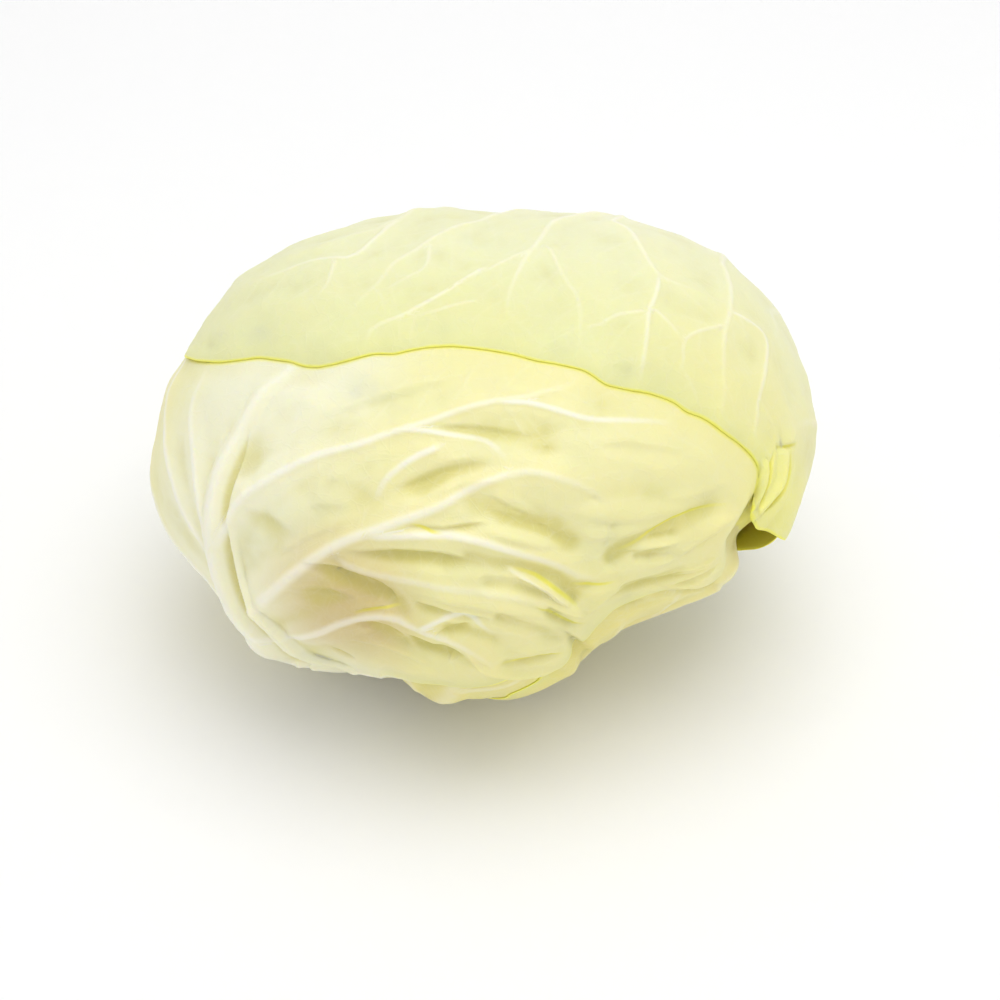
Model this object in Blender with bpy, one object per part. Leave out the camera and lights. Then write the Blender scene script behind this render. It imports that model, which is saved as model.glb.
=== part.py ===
"""A flat round head of green cabbage: five wrapper leaves round a dense heart, on a cut stem.

The head's outside is one smooth form with a few folds in it. Each leaf is a thin sheet at its own depth under
that form, cut along its own margin, and thickened along its ribs. A leaf also rises over the ribs of those
under it. Lengths are metres, +Z is up, and the origin is under the middle of the head, on the level that its
flat spot rests on.
"""

from math import cos, hypot, pi, radians, sin

import bpy
import numpy as np

# Driving dimensions of the head
HALF_WIDTH = 0.115
HALF_DEPTH = 0.098
HALF_HEIGHT = 0.076
HALVES = np.array([HALF_WIDTH, HALF_DEPTH, HALF_HEIGHT])
MEAN_RADIUS = 0.092
REST_HEIGHT = 0.0735  # from the flat spot up to the head's centre
REST_EVENNESS = 0.0001

# Leaves
BLADE_THICKNESS = 0.0012
MARGIN_THICKNESS = 0.0008
LEAF_GAP = 0.0006
UNDER_SPARE = 0.0006  # more room between the two outer leaves and all that is under them
FOLLOWING = 1.5  # a rib's rise in the leaf over it is this many times as wide
VALLEY_FOLLOWING = 1.6
LAYER = BLADE_THICKNESS + LEAF_GAP  # each leaf lies this much deeper than the one over it
THINNING = 0.012  # how far in from its margin a blade reaches full thickness
HEART_SPARE = 0.0014
PRESSED = 0.8  # share of a rib's height that it loses under another leaf
OVERLAP_FULL = 0.0015  # how far beyond a margin the outer leaves still ride over it at full height
OVERLAP_FADE = 0.014  # how far beyond a margin they have sunk to what is below

# How finely the pieces are divided: for each leaf, cells along a side and the share of triangles kept
LEAF_CELLS = [(80, 0.140), (84, 0.155), (44, 0.160), (44, 0.150), (40, 0.160)]
HEART_RINGS = 15
SPIN = 36
SHARP_FROM = radians(50)

# Stem: the way it leaves the head, its cut face and the core that it sends into the heart
STEM_AROUND = -40
STEM_UP = -62
STEM_CUT_AT = 0.0735
STEM_RADIUS = 0.0145
STEM_CUT_BEVEL = 0.0006
STEM_WAIST_AT = 0.060
STEM_WAIST_RADIUS = 0.0118
STEM_DIMPLE = 0.009
DIMPLE_REACH = radians(19)
LEAF_BASE = 12.3  # degrees from the stem's line at which the leaf bases end
CORE_NECK_AT = 0.050
CORE_NECK_RADIUS = 0.0095
CORE_WAIST_RADIUS = 0.0078
CORE_TIP_AT = 0.020
CORE_TIP_RADIUS = 0.0050
CORE_GAP = 0.0004
SOCKET_MOUTH = 17.5  # degrees from the stem's line at which the heart's skin turns in to its socket

# The head's front is laid out on a slanting plane through its centre, met by lines from an eye in front of it
SIGHT_RISE = radians(40)
SIGHT_DISTANCE = 0.862
POINTS_PER_METRE = 2900.0
PLANE_CENTRE = (484.0, 452.0)
PLANE_MIDDLE = (500.0, 500.0)
AHEAD = np.array([0.0, cos(SIGHT_RISE), -sin(SIGHT_RISE)])
ACROSS = np.array([1.0, 0.0, 0.0])
UPWARD = np.array([0.0, sin(SIGHT_RISE), cos(SIGHT_RISE)])

# The head's outline on that plane, going round from its right end over the top
HEAD_OUTLINE = [
    (817, 430), (803, 360), (770, 292), (740, 264), (700, 240), (650, 224), (600, 212), (565, 207), (500, 211),
    (440, 208), (385, 218), (340, 231), (300, 246), (240, 280), (205, 325), (177, 365), (160, 415), (150, 450),
    (153, 500), (168, 538), (187, 558), (214, 583), (235, 610), (264, 637), (302, 650), (344, 660), (385, 668),
    (426, 686), (475, 697), (505, 702), (532, 691), (569, 669), (599, 634), (631, 614), (677, 598), (711, 589),
    (737, 566), (779, 546), (791, 515), (806, 485),
]


# Directions from the head's centre


def unit(v):
    v = np.asarray(v, float)
    return v / np.linalg.norm(v, axis=-1, keepdims=True)


def turned(around, up):
    """The direction `around` degrees from the front, counted to the right, and `up` degrees above level."""
    a, u = radians(around), radians(up)
    return np.array([sin(a) * cos(u), -cos(a) * cos(u), sin(u)])


STEM = turned(STEM_AROUND, STEM_UP)
BACK_OF_STEM = unit(np.cross(np.cross(STEM, turned(146, 0)), STEM))
SIDE_OF_STEM = np.cross(STEM, BACK_OF_STEM)


def grown(*steps):
    """Directions as pairs: degrees out from the stem, and degrees round it from the back towards the right."""
    out, side = np.radians(np.array(steps, float)).T[:, :, None]
    return list(np.cos(out) * STEM + np.sin(out) * (np.cos(side) * BACK_OF_STEM + np.sin(side) * SIDE_OF_STEM))


def on_plane(points):
    """Layout points as places on the slanting plane, measured from the head's centre."""
    p = (np.atleast_2d(np.asarray(points, float)) - PLANE_CENTRE) / POINTS_PER_METRE
    return p[:, :1] * ACROSS - p[:, 1:] * UPWARD


EYE = on_plane(PLANE_MIDDLE)[0] - SIGHT_DISTANCE * AHEAD


def outline_table():
    """How far the outline stands out from the ellipsoid's own, degree by degree."""
    p = on_plane(HEAD_OUTLINE)
    x, y = p @ ACROSS, p @ UPWARD
    angle = np.arctan2(y, x)
    tall = hypot(HALF_DEPTH * sin(SIGHT_RISE), HALF_HEIGHT * cos(SIGHT_RISE))
    ratio = np.hypot(x, y) * np.hypot(np.cos(angle) / HALF_WIDTH, np.sin(angle) / tall)
    order = np.argsort(angle)
    degrees = np.radians(np.arange(-180, 180))
    table = np.interp(degrees, angle[order], ratio[order], period=2 * pi)
    reach, spread = 16, 3.0
    blur = np.exp(-0.5 * (np.arange(-reach, reach + 1) / spread) ** 2)
    wrapped = np.concatenate([table[-reach:], table, table[:reach]])
    return degrees, np.convolve(wrapped, blur / blur.sum(), "valid")


OUTLINE_ANGLE, OUTLINE_RATIO = outline_table()
SIGHT_SPREAD = 1.006  # an outline seen from a near eye is this much larger than its body


def head_radius(d):
    """Distance from the head's centre to its smooth outside in direction d."""
    plain = 1 / np.linalg.norm(d / HALVES, axis=-1)
    angle = np.arctan2(d @ UPWARD, d @ ACROSS)
    ratio = np.interp(angle, OUTLINE_ANGLE, OUTLINE_RATIO, period=2 * pi)
    return plain * (1 + (ratio - 1) * (1 - (d @ AHEAD) ** 2)) / SIGHT_SPREAD


def slant(d):
    """How much longer a way through the head's skin is along d than straight through."""
    east = unit(np.cross((0.0, 0.0, 1.0), d))
    north = np.cross(d, east)
    small = 0.02
    slopes = [head_radius(unit(d + small * t)) - head_radius(unit(d - small * t)) for t in (east, north)]
    return np.sqrt(1 + (np.square(slopes).sum(0)) / (2 * small * head_radius(d)) ** 2)


def seen(*points):
    """Directions of the places where sight lines through layout points meet the head."""
    line = unit(on_plane(points) - EYE)
    far = -(line @ EYE)
    near = far - 0.2
    for _ in range(32):
        middle = (near + far) / 2
        place = EYE + middle[:, None] * line
        out = np.linalg.norm(place, axis=1)
        within = out < head_radius(place / out[:, None])
        far, near = np.where(within, middle, far), np.where(within, near, middle)
    return list(unit(EYE + far[:, None] * line))


# Ridges, valleys and steps along lines on the head


def traced(directions, step=0.003):
    """A rounded line on the head's outside through the given directions, as places a step apart."""
    p = np.array(directions)
    for _ in range(2):
        cut = np.stack([0.75 * p[:-1] + 0.25 * p[1:], 0.25 * p[:-1] + 0.75 * p[1:]], 1).reshape(-1, 3)
        p = np.vstack([p[:1], cut, p[-1:]])
    p = unit(p)
    p = p * head_radius(p)[:, None]
    run = np.concatenate([[0], np.cumsum(np.linalg.norm(np.diff(p, axis=0), axis=1))])
    even = np.linspace(0, run[-1], max(3, int(run[-1] / step)))
    return np.stack([np.interp(even, run, p[:, i]) for i in range(3)], 1)


def nearest(places, line):
    """Distance from each place to the line, the share of the line passed there, and the side it lies on."""
    start, leg = line[:-1], np.diff(line, axis=0)
    offset = places[:, None] - start
    t = np.clip((offset * leg).sum(-1) / (leg * leg).sum(-1), 0, 1)
    away = offset - t[..., None] * leg
    distance = np.linalg.norm(away, axis=-1)
    best = distance.argmin(1)
    row = np.arange(len(places))
    side = (np.cross(leg[best], away[row, best]) * places).sum(-1)
    return distance[row, best], (best + t[row, best]) / len(leg), side


class Ridge:
    """A rounded ridge, or a valley if its height is negative. Height and half width change along its line."""

    def __init__(self, directions, height, half_width, end_height=0.0, end_half_width=None):
        self.line = traced(directions)
        self.heights = (height, end_height)
        self.widths = (half_width, half_width if end_half_width is None else end_half_width)
        self.middle = self.line.mean(0)
        self.reach = np.linalg.norm(self.line - self.middle, axis=1).max()

    def near(self, places, margin):
        return np.flatnonzero(np.linalg.norm(places - self.middle, axis=1) < self.reach + margin)

    def rise(self, places, spread=1.0):
        rise = np.zeros(len(places))
        close = self.near(places, max(self.widths) * spread)
        if len(close):
            distance, share, _ = nearest(places[close], self.line)
            width = np.interp(share, (0, 1), self.widths) * spread
            height = np.interp(share, (0, 1), self.heights)
            rise[close] = height * np.clip(1 - (distance / width) ** 2, 0, 1) ** 2
        return rise


class Step(Ridge):
    """A step up on one side of its line, lost at the line's ends and over its half width away from it."""

    RISER = 0.0028

    def rise(self, places, spread=1.0):
        rise = np.zeros(len(places))
        close = self.near(places, self.widths[0])
        if len(close):
            distance, share, side = nearest(places[close], self.line)
            signed = np.where(side > 0, distance, -distance)
            foot = np.clip(signed / self.RISER + 0.5 * spread, 0, 1)
            slope = np.clip(1 - distance / self.widths[0], 0, 1) ** 2
            along = np.interp(share, (0, 0.3, 0.6, 1), (0, 1, 0.8, 0)) * self.heights[0]
            rise[close] = along * foot * slope
        return rise


def blended(ridges, places, spread=1.0):
    """Ridges together: where two meet they run into one another without standing higher."""
    total = np.zeros(len(places))
    for ridge in ridges:
        rise = ridge.rise(places, spread)
        total += np.sign(rise) * np.abs(rise) ** 3
    return np.cbrt(total)


# Folds in the head's form

FOLDS = [
    Ridge(seen((337, 560), (364, 574)), -0.0012, 0.0035),
    Ridge(seen((305, 581), (351, 582), (374, 585), (392, 597), (401, 611)), -0.0006, 0.0050, -0.0016),
    Ridge(seen((466, 492), (500, 508), (527, 519), (550, 529), (569, 542)), -0.0014, 0.0075, -0.0022),
    Ridge(seen((470, 429), (500, 431), (527, 433), (545, 445)), -0.0008, 0.0080, -0.0014),
    Ridge(seen((470, 558), (504, 565), (539, 570), (562, 579), (573, 597)), -0.0020, 0.0052, -0.0024),
    Ridge(seen((488, 584), (516, 584), (546, 593)), -0.0016, 0.0040, -0.0010),
    Ridge(seen((449, 629), (470, 631), (493, 637)), -0.0020, 0.0048, -0.0012),
    Ridge(seen((378, 628), (404, 641)), -0.0016, 0.0048, -0.0010),
    Ridge(seen((443, 648), (468, 661)), -0.0012, 0.0040, -0.0008),
    Ridge(seen((550, 613), (562, 620), (576, 627)), -0.0014, 0.0036, -0.0008),
    Ridge(seen((500, 618), (527, 627), (562, 641)), -0.0014, 0.0036, -0.0008),
    Ridge(seen((507, 664), (534, 659), (555, 656)), -0.0012, 0.0036, -0.0006),
    Ridge(seen((615, 556), (631, 547), (649, 535), (667, 529), (681, 522), (700, 512), (731, 504)),
          -0.0022, 0.0060, -0.0006),
    Ridge(seen((638, 556), (654, 551), (672, 554)), -0.0014, 0.0034, -0.0008),
    Ridge(seen((576, 586), (599, 585), (615, 579)), -0.0016, 0.0036, -0.0008),
    Ridge(seen((625, 586), (652, 580), (680, 571)), -0.0014, 0.0040, -0.0008),
    Ridge(seen((560, 480), (600, 452), (650, 450), (690, 470)), 0.0016, 0.0130, 0.0010),
    Ridge(seen((600, 590), (650, 567), (700, 548)), 0.0014, 0.0060, 0.0008),
    Ridge(seen((300, 530), (340, 500), (372, 470)), 0.0014, 0.0120, 0.0008),
    Ridge(seen((250, 470), (262, 440), (290, 410)), -0.0010, 0.0055, -0.0004),
]


VALLEYS = [fold for fold in FOLDS if fold.heights[0] < 0]


def form(d, under=False):
    """Distance from the head's centre to its folded outside, drawn in round the stem.

    `under` is for the parts beneath the front leaf, which keep clear of its valleys and don't follow its puffs.
    """
    radius = head_radius(d)
    from_stem = np.arccos(np.clip(d @ STEM, -1, 1))
    places = d * radius[:, None]
    folds = blended(VALLEYS, places, VALLEY_FOLLOWING) if under else blended(FOLDS, places)
    dimple = STEM_DIMPLE * np.exp(-((from_stem / DIMPLE_REACH) ** 2))
    return radius - dimple + folds - (UNDER_SPARE if under else 0)


# Leaves


class Leaf:
    """A sheet with a margin round its middle, ribs that stand out of it, and lifts that raise it."""

    def __init__(self, name, colour, middle, margin, ribs, lifts=(), wave=0.0):
        self.name, self.colour = name, colour
        self.middle = unit(middle)
        self.east = unit(np.cross((0.0, 0.0, 1.0), self.middle))
        self.north = np.cross(self.middle, self.east)
        self.ribs, self.lifts = ribs, lifts
        bearing, reach = self.chart(np.array(margin))
        order = np.argsort(bearing)
        self.bearings = np.radians(np.arange(-180, 180, 0.5))
        self.reaches = np.interp(self.bearings, bearing[order], reach[order], period=2 * pi)
        self.reaches += wave * sum(np.sin(n * self.bearings + 1.7 * n) for n in (7, 11, 17, 26)) / 4
        spread = np.exp(-0.5 * (np.arange(-60, 61) / 20) ** 2)
        wrapped = np.concatenate([self.reaches[-60:], self.reaches, self.reaches[:60]])
        self.even_reaches = np.convolve(wrapped, spread / spread.sum(), "valid")

    def chart(self, d):
        """Bearing and angular distance of directions d, as seen from the middle of the leaf."""
        return np.arctan2(d @ self.east, d @ self.north), np.arccos(np.clip(d @ self.middle, -1, 1))

    def grid(self, cells):
        """Directions over the leaf: a square of cells pressed into a disc and stretched to the margin."""
        u, v = np.meshgrid(np.linspace(-1, 1, cells + 1), np.linspace(-1, 1, cells + 1), indexing="ij")
        u, v = u.ravel(), v.ravel()
        share = np.maximum(np.abs(u), np.abs(v))
        bearing = np.arctan2(u * np.sqrt(1 - v * v / 2), v * np.sqrt(1 - u * u / 2))
        even = np.interp(bearing, self.bearings, self.even_reaches, period=2 * pi)
        true = np.interp(bearing, self.bearings, self.reaches, period=2 * pi)
        reach = share * (even + (true - even) * share**5)
        flat = np.sin(bearing)[:, None] * self.east + np.cos(bearing)[:, None] * self.north
        return np.cos(reach)[:, None] * self.middle + np.sin(reach)[:, None] * flat

    def within(self, d):
        """How far inside the margin directions d lie, in metres on the head."""
        bearing, reach = self.chart(d)
        return MEAN_RADIUS * (np.interp(bearing, self.bearings, self.reaches, period=2 * pi) - reach)

    def cover(self, d):
        """One over the leaf, fading to nothing a little way beyond its margin."""
        t = np.clip((self.within(d) + OVERLAP_FADE) / (OVERLAP_FADE - OVERLAP_FULL), 0, 1)
        return t * t * (3 - 2 * t)


BLADE_TOP = (0.80, 0.82, 0.46)
BLADE_FRONT = (0.76, 0.74, 0.40)
BLADE_UNDER = (0.70, 0.72, 0.38)
PALE_FLESH = (0.84, 0.82, 0.58)

CROWN_MARGIN = seen(
    (179, 351), (187, 360), (201, 363), (217, 361), (233, 359), (256, 356), (268, 358), (286, 360), (300, 365),
    (314, 366), (330, 363), (346, 359), (371, 352), (394, 352), (410, 348), (428, 345), (451, 344), (474, 346),
    (490, 348), (516, 353), (537, 359), (562, 363), (587, 369), (596, 375), (608, 384), (631, 389), (651, 392),
    (667, 397), (679, 402), (690, 412), (702, 415), (713, 421), (727, 432), (745, 445), (757, 457), (765, 470),
    (763, 484), (759, 498), (752, 511), (751, 520), (759, 529), (771, 531), (779, 546),
) + grown(
    (91, 65), (84, 56), (74, 54), (60, 50), (44, 50), (30, 46), (20, 42), (LEAF_BASE, 36), (LEAF_BASE, 18),
    (LEAF_BASE, 0), (LEAF_BASE, -18), (LEAF_BASE, -36), (20, -42), (30, -52), (42, -74), (56, -92), (70, -106),
    (82, -117),
)

CROWN_RIBS = [
    Ridge(grown((LEAF_BASE, 0), (40, 0), (80, -3), (120, -4), (150, 0)), 0.0060, 0.0130, 0.0018, 0.0060),
    Ridge(grown((150, 0), (162, -10)) + seen((568, 205), (550, 224), (541, 240), (525, 259), (518, 273),
          (508, 293), (506, 319)), 0.0016, 0.0036, 0.0003, 0.0022),
    Ridge(seen((535, 250), (507, 261), (488, 270), (450, 290)), 0.0009, 0.0022),
    Ridge(seen((546, 246), (562, 275), (571, 289), (579, 300), (580, 323), (579, 351)), 0.0010, 0.0024, 0.0003),
    Ridge(grown((150, 0), (160, 12)) + seen((612, 217), (626, 229), (638, 247), (647, 261), (656, 277),
          (677, 285), (700, 293)), 0.0016, 0.0036, 0.0003, 0.0022),
    Ridge(seen((658, 279), (654, 300), (647, 309), (646, 337), (643, 364), (642, 385)), 0.0009, 0.0024, 0.0003),
    Ridge(seen((645, 312), (612, 315), (603, 325), (580, 328)), 0.0008, 0.0022),
    Ridge(grown((124, -3), (134, 14), (142, 36)) + seen((722, 261), (725, 273), (729, 291), (727, 319),
          (722, 337), (722, 364), (722, 420)), 0.0020, 0.0040, 0.0004, 0.0024),
    Ridge(seen((725, 325), (695, 332), (681, 341), (685, 355), (679, 374)), 0.0008, 0.0022),
    Ridge(seen((651, 309), (670, 325), (681, 339)), 0.0007, 0.0022, 0.0005),
    Ridge(seen((728, 312), (748, 323), (766, 337), (764, 369), (759, 392), (756, 420), (755, 443)),
          0.0010, 0.0026, 0.0004),
    Ridge(grown((104, -2), (116, 20), (128, 44)) + seen((771, 307), (778, 330), (770, 345)), 0.0020, 0.0040),
    Ridge(grown((86, -2), (100, 32), (112, 60)) + seen((796, 420), (791, 440)), 0.0020, 0.0040, 0.0005),
    Ridge(grown((134, -4), (146, -28), (156, -60)) + seen((490, 220), (451, 231), (435, 240), (405, 257),
          (389, 270), (378, 284), (360, 302), (348, 319)), 0.0018, 0.0038, 0.0003, 0.0024),
    Ridge(seen((430, 246), (428, 270), (405, 279), (383, 291)), 0.0008, 0.0022),
    Ridge(grown((118, -4), (132, -40), (140, -80)) + seen((401, 220), (378, 234), (353, 236), (325, 246)),
          0.0022, 0.0048, 0.0010),
    Ridge(seen((401, 222), (378, 240), (353, 259), (337, 259), (304, 263), (277, 275), (254, 284)),
          0.0010, 0.0030, 0.0004),
    Ridge(seen((337, 262), (330, 282), (318, 298)), 0.0008, 0.0022),
    Ridge(seen((486, 268), (451, 291), (419, 307), (405, 316), (371, 328), (362, 346)), 0.0010, 0.0026, 0.0003),
    Ridge(seen((478, 302), (440, 310), (405, 319)), 0.0007, 0.0022),
    Ridge(grown((96, -4), (106, -40), (108, -80), (104, -112)), 0.0022, 0.0042, 0.0005),
    Ridge(grown((74, -3), (84, -36), (88, -74), (84, -108)), 0.0024, 0.0046, 0.0005),
    Ridge(grown((52, -2), (62, -34), (66, -66), (64, -94)), 0.0026, 0.0048, 0.0006),
    Ridge(grown((62, -2), (76, 26), (86, 50)), 0.0026, 0.0048, 0.0006),
    Ridge(grown((40, 0), (52, 24), (62, 44)), 0.0024, 0.0046, 0.0006),
]

# The crown leaf's front right corner is rolled back on itself and its tip hangs free
CROWN_LIFTS = [
    Ridge(seen((787, 446), (784, 463), (777, 484), (767, 500), (755, 514)), 0.0022, 0.0042, 0.0026),
    Ridge(seen((800, 490), (790, 515), (777, 538)), 0.0006, 0.0100, 0.0040, 0.0120),
    Ridge(seen((764, 462), (764, 480), (757, 500)), 0.0012, 0.0030, 0.0012),
    Ridge(seen((596, 372), (640, 386), (690, 408)), 0.0010, 0.0080, 0.0010),
    Ridge(seen((470, 340), (520, 348), (570, 360)), 0.0008, 0.0080, 0.0010),
    Ridge(seen((215, 350), (250, 350), (290, 354)), 0.0008, 0.0080, 0.0008),
]

FRONT_MARGIN = seen(
    (741, 538), (737, 558), (725, 577), (711, 589), (700, 591), (677, 590), (652, 597), (617, 612),
    (599, 630), (589, 643), (577, 650), (569, 666), (562, 673), (534, 677), (511, 682), (493, 689), (470, 691),
) + grown(
    (49, 146), (45, 152), (43, 158), (40, 162), (32, 160), (22, 154), (LEAF_BASE, 150), (LEAF_BASE, 168),
    (LEAF_BASE, -174), (LEAF_BASE, -156), (LEAF_BASE, -140), (22, -132), (38, -120), (55, -110), (72, -102),
    (88, -98), (96, -102), (104, -108), (112, -118), (120, -130), (128, -146), (134, -162),
) + seen(
    (456, 305), (540, 315), (620, 335), (690, 362), (740, 395), (783, 435),
    (798, 470), (782, 500), (765, 515),
)

FRONT_RIBS = [
    Ridge(grown((LEAF_BASE, -172), (34, -172)) + seen((290, 652), (262, 628), (245, 615), (231, 590),
          (222, 562), (217, 535), (216, 511), (219, 486), (227, 461), (239, 438), (253, 410), (268, 385),
          (286, 368), (300, 345)), 0.0062, 0.0125, 0.0012, 0.0042),
    Ridge(seen((220, 548), (224, 540), (232, 516), (249, 493), (272, 479), (300, 463), (327, 452), (360, 445),
          (383, 436), (405, 429), (428, 422), (451, 413), (474, 406), (493, 401), (509, 399), (532, 397),
          (546, 390), (566, 388), (582, 374)), 0.0026, 0.0046, 0.0006, 0.0028),
    Ridge(seen((390, 432), (405, 429), (428, 431), (463, 436), (490, 440), (509, 463)), 0.0012, 0.0028),
    Ridge(seen((495, 401), (509, 402), (532, 403), (566, 413), (589, 420), (631, 420), (677, 422)),
          0.0013, 0.0030),
    Ridge(seen((376, 502), (383, 484), (396, 470), (417, 456), (430, 453)), 0.0016, 0.0030),
    Ridge(seen((258, 606), (266, 599), (282, 585), (305, 565), (328, 549), (351, 537), (374, 530), (397, 521),
          (420, 514), (443, 505), (466, 491), (488, 480), (511, 473), (534, 471), (550, 475), (580, 485),
          (599, 496), (612, 510)), 0.0036, 0.0060, 0.0006, 0.0030),
    Ridge(seen((366, 533), (378, 535), (420, 534), (454, 534), (488, 542), (511, 551), (550, 562), (573, 574),
          (601, 581)), 0.0020, 0.0038, 0.0008),
    Ridge(seen((335, 556), (346, 558), (374, 560), (408, 569), (443, 581), (466, 585), (511, 588), (550, 597),
          (566, 604)), 0.0014, 0.0036, 0.0008),
    Ridge(seen((508, 569), (530, 581), (548, 593), (566, 604)), 0.0010, 0.0022, 0.0006),
    Ridge(seen((292, 634), (319, 631), (339, 622), (362, 615), (387, 613), (404, 620), (420, 629), (443, 638),
          (466, 647), (484, 657), (495, 666)), 0.0028, 0.0048, 0.0008, 0.0030),
    Ridge(seen((418, 629), (438, 620), (461, 613), (472, 615), (495, 638)), 0.0013, 0.0030),
    Ridge(seen((212, 552), (201, 534), (187, 511), (178, 488), (169, 449), (167, 420))
          + grown((94, -116), (104, -112)), 0.0018, 0.0036, 0.0006),
    Ridge(seen((215, 545), (208, 523), (201, 495), (197, 461), (193, 433), (192, 410), (197, 387), (203, 364)),
          0.0018, 0.0036, 0.0005),
    Ridge(grown((50, -172), (60, -150), (70, -130), (76, -110)), 0.0024, 0.0044, 0.0006),
    Ridge(grown((32, -171), (44, -148), (55, -128), (60, -114)), 0.0024, 0.0044, 0.0006),
    Ridge(grown((36, 178), (42, 162), (46, 152)), 0.0020, 0.0040, 0.0008),
]

# The blade on the right of the front leaf's midrib bulges over it
FRONT_LIFTS = [
    Step(grown((34, 172), (42, 175)) + seen((312, 655), (302, 645), (291, 634), (277, 622), (266, 613),
         (257, 606), (251, 592), (243, 572), (238, 552), (236, 535), (240, 515)), 0.0042, 0.0400),
]

RIGHT_MARGIN = grown(
    (LEAF_BASE, 48), (LEAF_BASE, 64), (LEAF_BASE, 84), (LEAF_BASE, 104), (LEAF_BASE, 120), (24, 124), (42, 126),
    (56, 122), (72, 122), (86, 120), (100, 112), (112, 98), (118, 80), (114, 62), (104, 46), (90, 36), (74, 30),
    (56, 28), (40, 32), (24, 40),
)

RIGHT_RIBS = [
    Ridge(grown((LEAF_BASE, 84), (40, 85), (70, 84), (104, 78)), 0.0052, 0.0120, 0.0010, 0.0050),
    Ridge(grown((34, 85), (48, 100), (60, 112)), 0.0022, 0.0042, 0.0006),
    Ridge(grown((50, 85), (64, 98), (76, 110)), 0.0020, 0.0040, 0.0006),
    Ridge(grown((68, 84), (80, 96), (90, 106)), 0.0016, 0.0036, 0.0004),
    Ridge(grown((28, 85), (42, 66), (52, 48)), 0.0022, 0.0042, 0.0006),
    Ridge(grown((44, 85), (58, 68), (68, 50)), 0.0020, 0.0040, 0.0006),
    Ridge(grown((62, 84), (76, 66), (84, 50)), 0.0016, 0.0036, 0.0004),
]

LEFT_MARGIN = grown(
    (LEAF_BASE, -126), (LEAF_BASE, -108), (LEAF_BASE, -88), (LEAF_BASE, -68), (LEAF_BASE, -50), (24, -42),
    (44, -34), (66, -34), (86, -42), (102, -56), (112, -76), (114, -98), (106, -118), (90, -132), (70, -142),
    (48, -146), (28, -140),
)

LEFT_RIBS = [
    Ridge(grown((LEAF_BASE, -88), (40, -88), (70, -90), (104, -92)), 0.0052, 0.0120, 0.0010, 0.0050),
    Ridge(grown((30, -88), (44, -104), (54, -122)), 0.0022, 0.0042, 0.0006),
    Ridge(grown((46, -88), (60, -104), (72, -122)), 0.0020, 0.0040, 0.0006),
    Ridge(grown((66, -90), (78, -104), (88, -120)), 0.0016, 0.0036, 0.0004),
    Ridge(grown((34, -88), (46, -70), (56, -52)), 0.0022, 0.0042, 0.0006),
    Ridge(grown((52, -88), (66, -72), (76, -56)), 0.0020, 0.0040, 0.0006),
    Ridge(grown((72, -90), (84, -76), (94, -64)), 0.0016, 0.0036, 0.0004),
]

LOWER_MARGIN = grown(
    (LEAF_BASE, 104), (LEAF_BASE, 122), (LEAF_BASE, 142), (LEAF_BASE, 162), (LEAF_BASE, -178), (26, -172),
    (44, -168), (62, -170), (78, 178), (88, 160), (90, 140), (84, 122), (72, 108), (56, 100), (40, 98), (24, 98),
)

LOWER_RIBS = [
    Ridge(grown((LEAF_BASE, 142), (40, 142), (62, 143), (82, 144)), 0.0050, 0.0110, 0.0010, 0.0050),
    Ridge(grown((28, 142), (42, 124), (54, 112)), 0.0020, 0.0040, 0.0006),
    Ridge(grown((46, 142), (60, 128), (70, 118)), 0.0018, 0.0036, 0.0006),
    Ridge(grown((30, 142), (44, 160), (56, 172)), 0.0020, 0.0040, 0.0006),
    Ridge(grown((48, 142), (62, 156), (74, 166)), 0.0018, 0.0036, 0.0006),
]

# From the outside in
LEAVES = [
    Leaf("crown_leaf", BLADE_TOP, turned(172, 22), CROWN_MARGIN, CROWN_RIBS, CROWN_LIFTS),
    Leaf("front_leaf", BLADE_FRONT, turned(-28, 38), FRONT_MARGIN, FRONT_RIBS, FRONT_LIFTS),
    Leaf("right_leaf", BLADE_UNDER, grown((66, 78))[0], RIGHT_MARGIN, RIGHT_RIBS, wave=0.03),
    Leaf("left_leaf", BLADE_UNDER, grown((64, -90))[0], LEFT_MARGIN, LEFT_RIBS, wave=0.03),
    Leaf("lower_leaf", BLADE_UNDER, grown((52, 142))[0], LOWER_MARGIN, LOWER_RIBS, wave=0.03),
]

HEART_RIBS = [
    Ridge(grown((24, 20), (60, 24), (110, 18), (150, 10)), 0.0016, 0.0060, 0.0004),
    Ridge(grown((24, -70), (60, -66), (110, -62), (140, -50)), 0.0016, 0.0060, 0.0004),
    Ridge(grown((24, -160), (60, -156), (110, -150), (140, -150)), 0.0012, 0.0060, 0.0004),
    Ridge(grown((24, 110), (60, 112), (110, 116), (140, 120)), 0.0012, 0.0060, 0.0004),
]


# Surfaces


def above_floor(d, height):
    """The distance in direction d at which a place is `height` above the floor; far away if d points up."""
    down = np.maximum(-d[:, 2], 1e-6)
    return (REST_HEIGHT - height) / down


def relief(index, d, places, spread=1.0):
    """How far a leaf's ribs stand out: the leaves over it press them down."""
    over = np.max([leaf.cover(d) for leaf in LEAVES[:index]] + [np.zeros(len(d))], axis=0)
    return blended(LEAVES[index].ribs, places, spread) * (1 - PRESSED * over)


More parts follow.
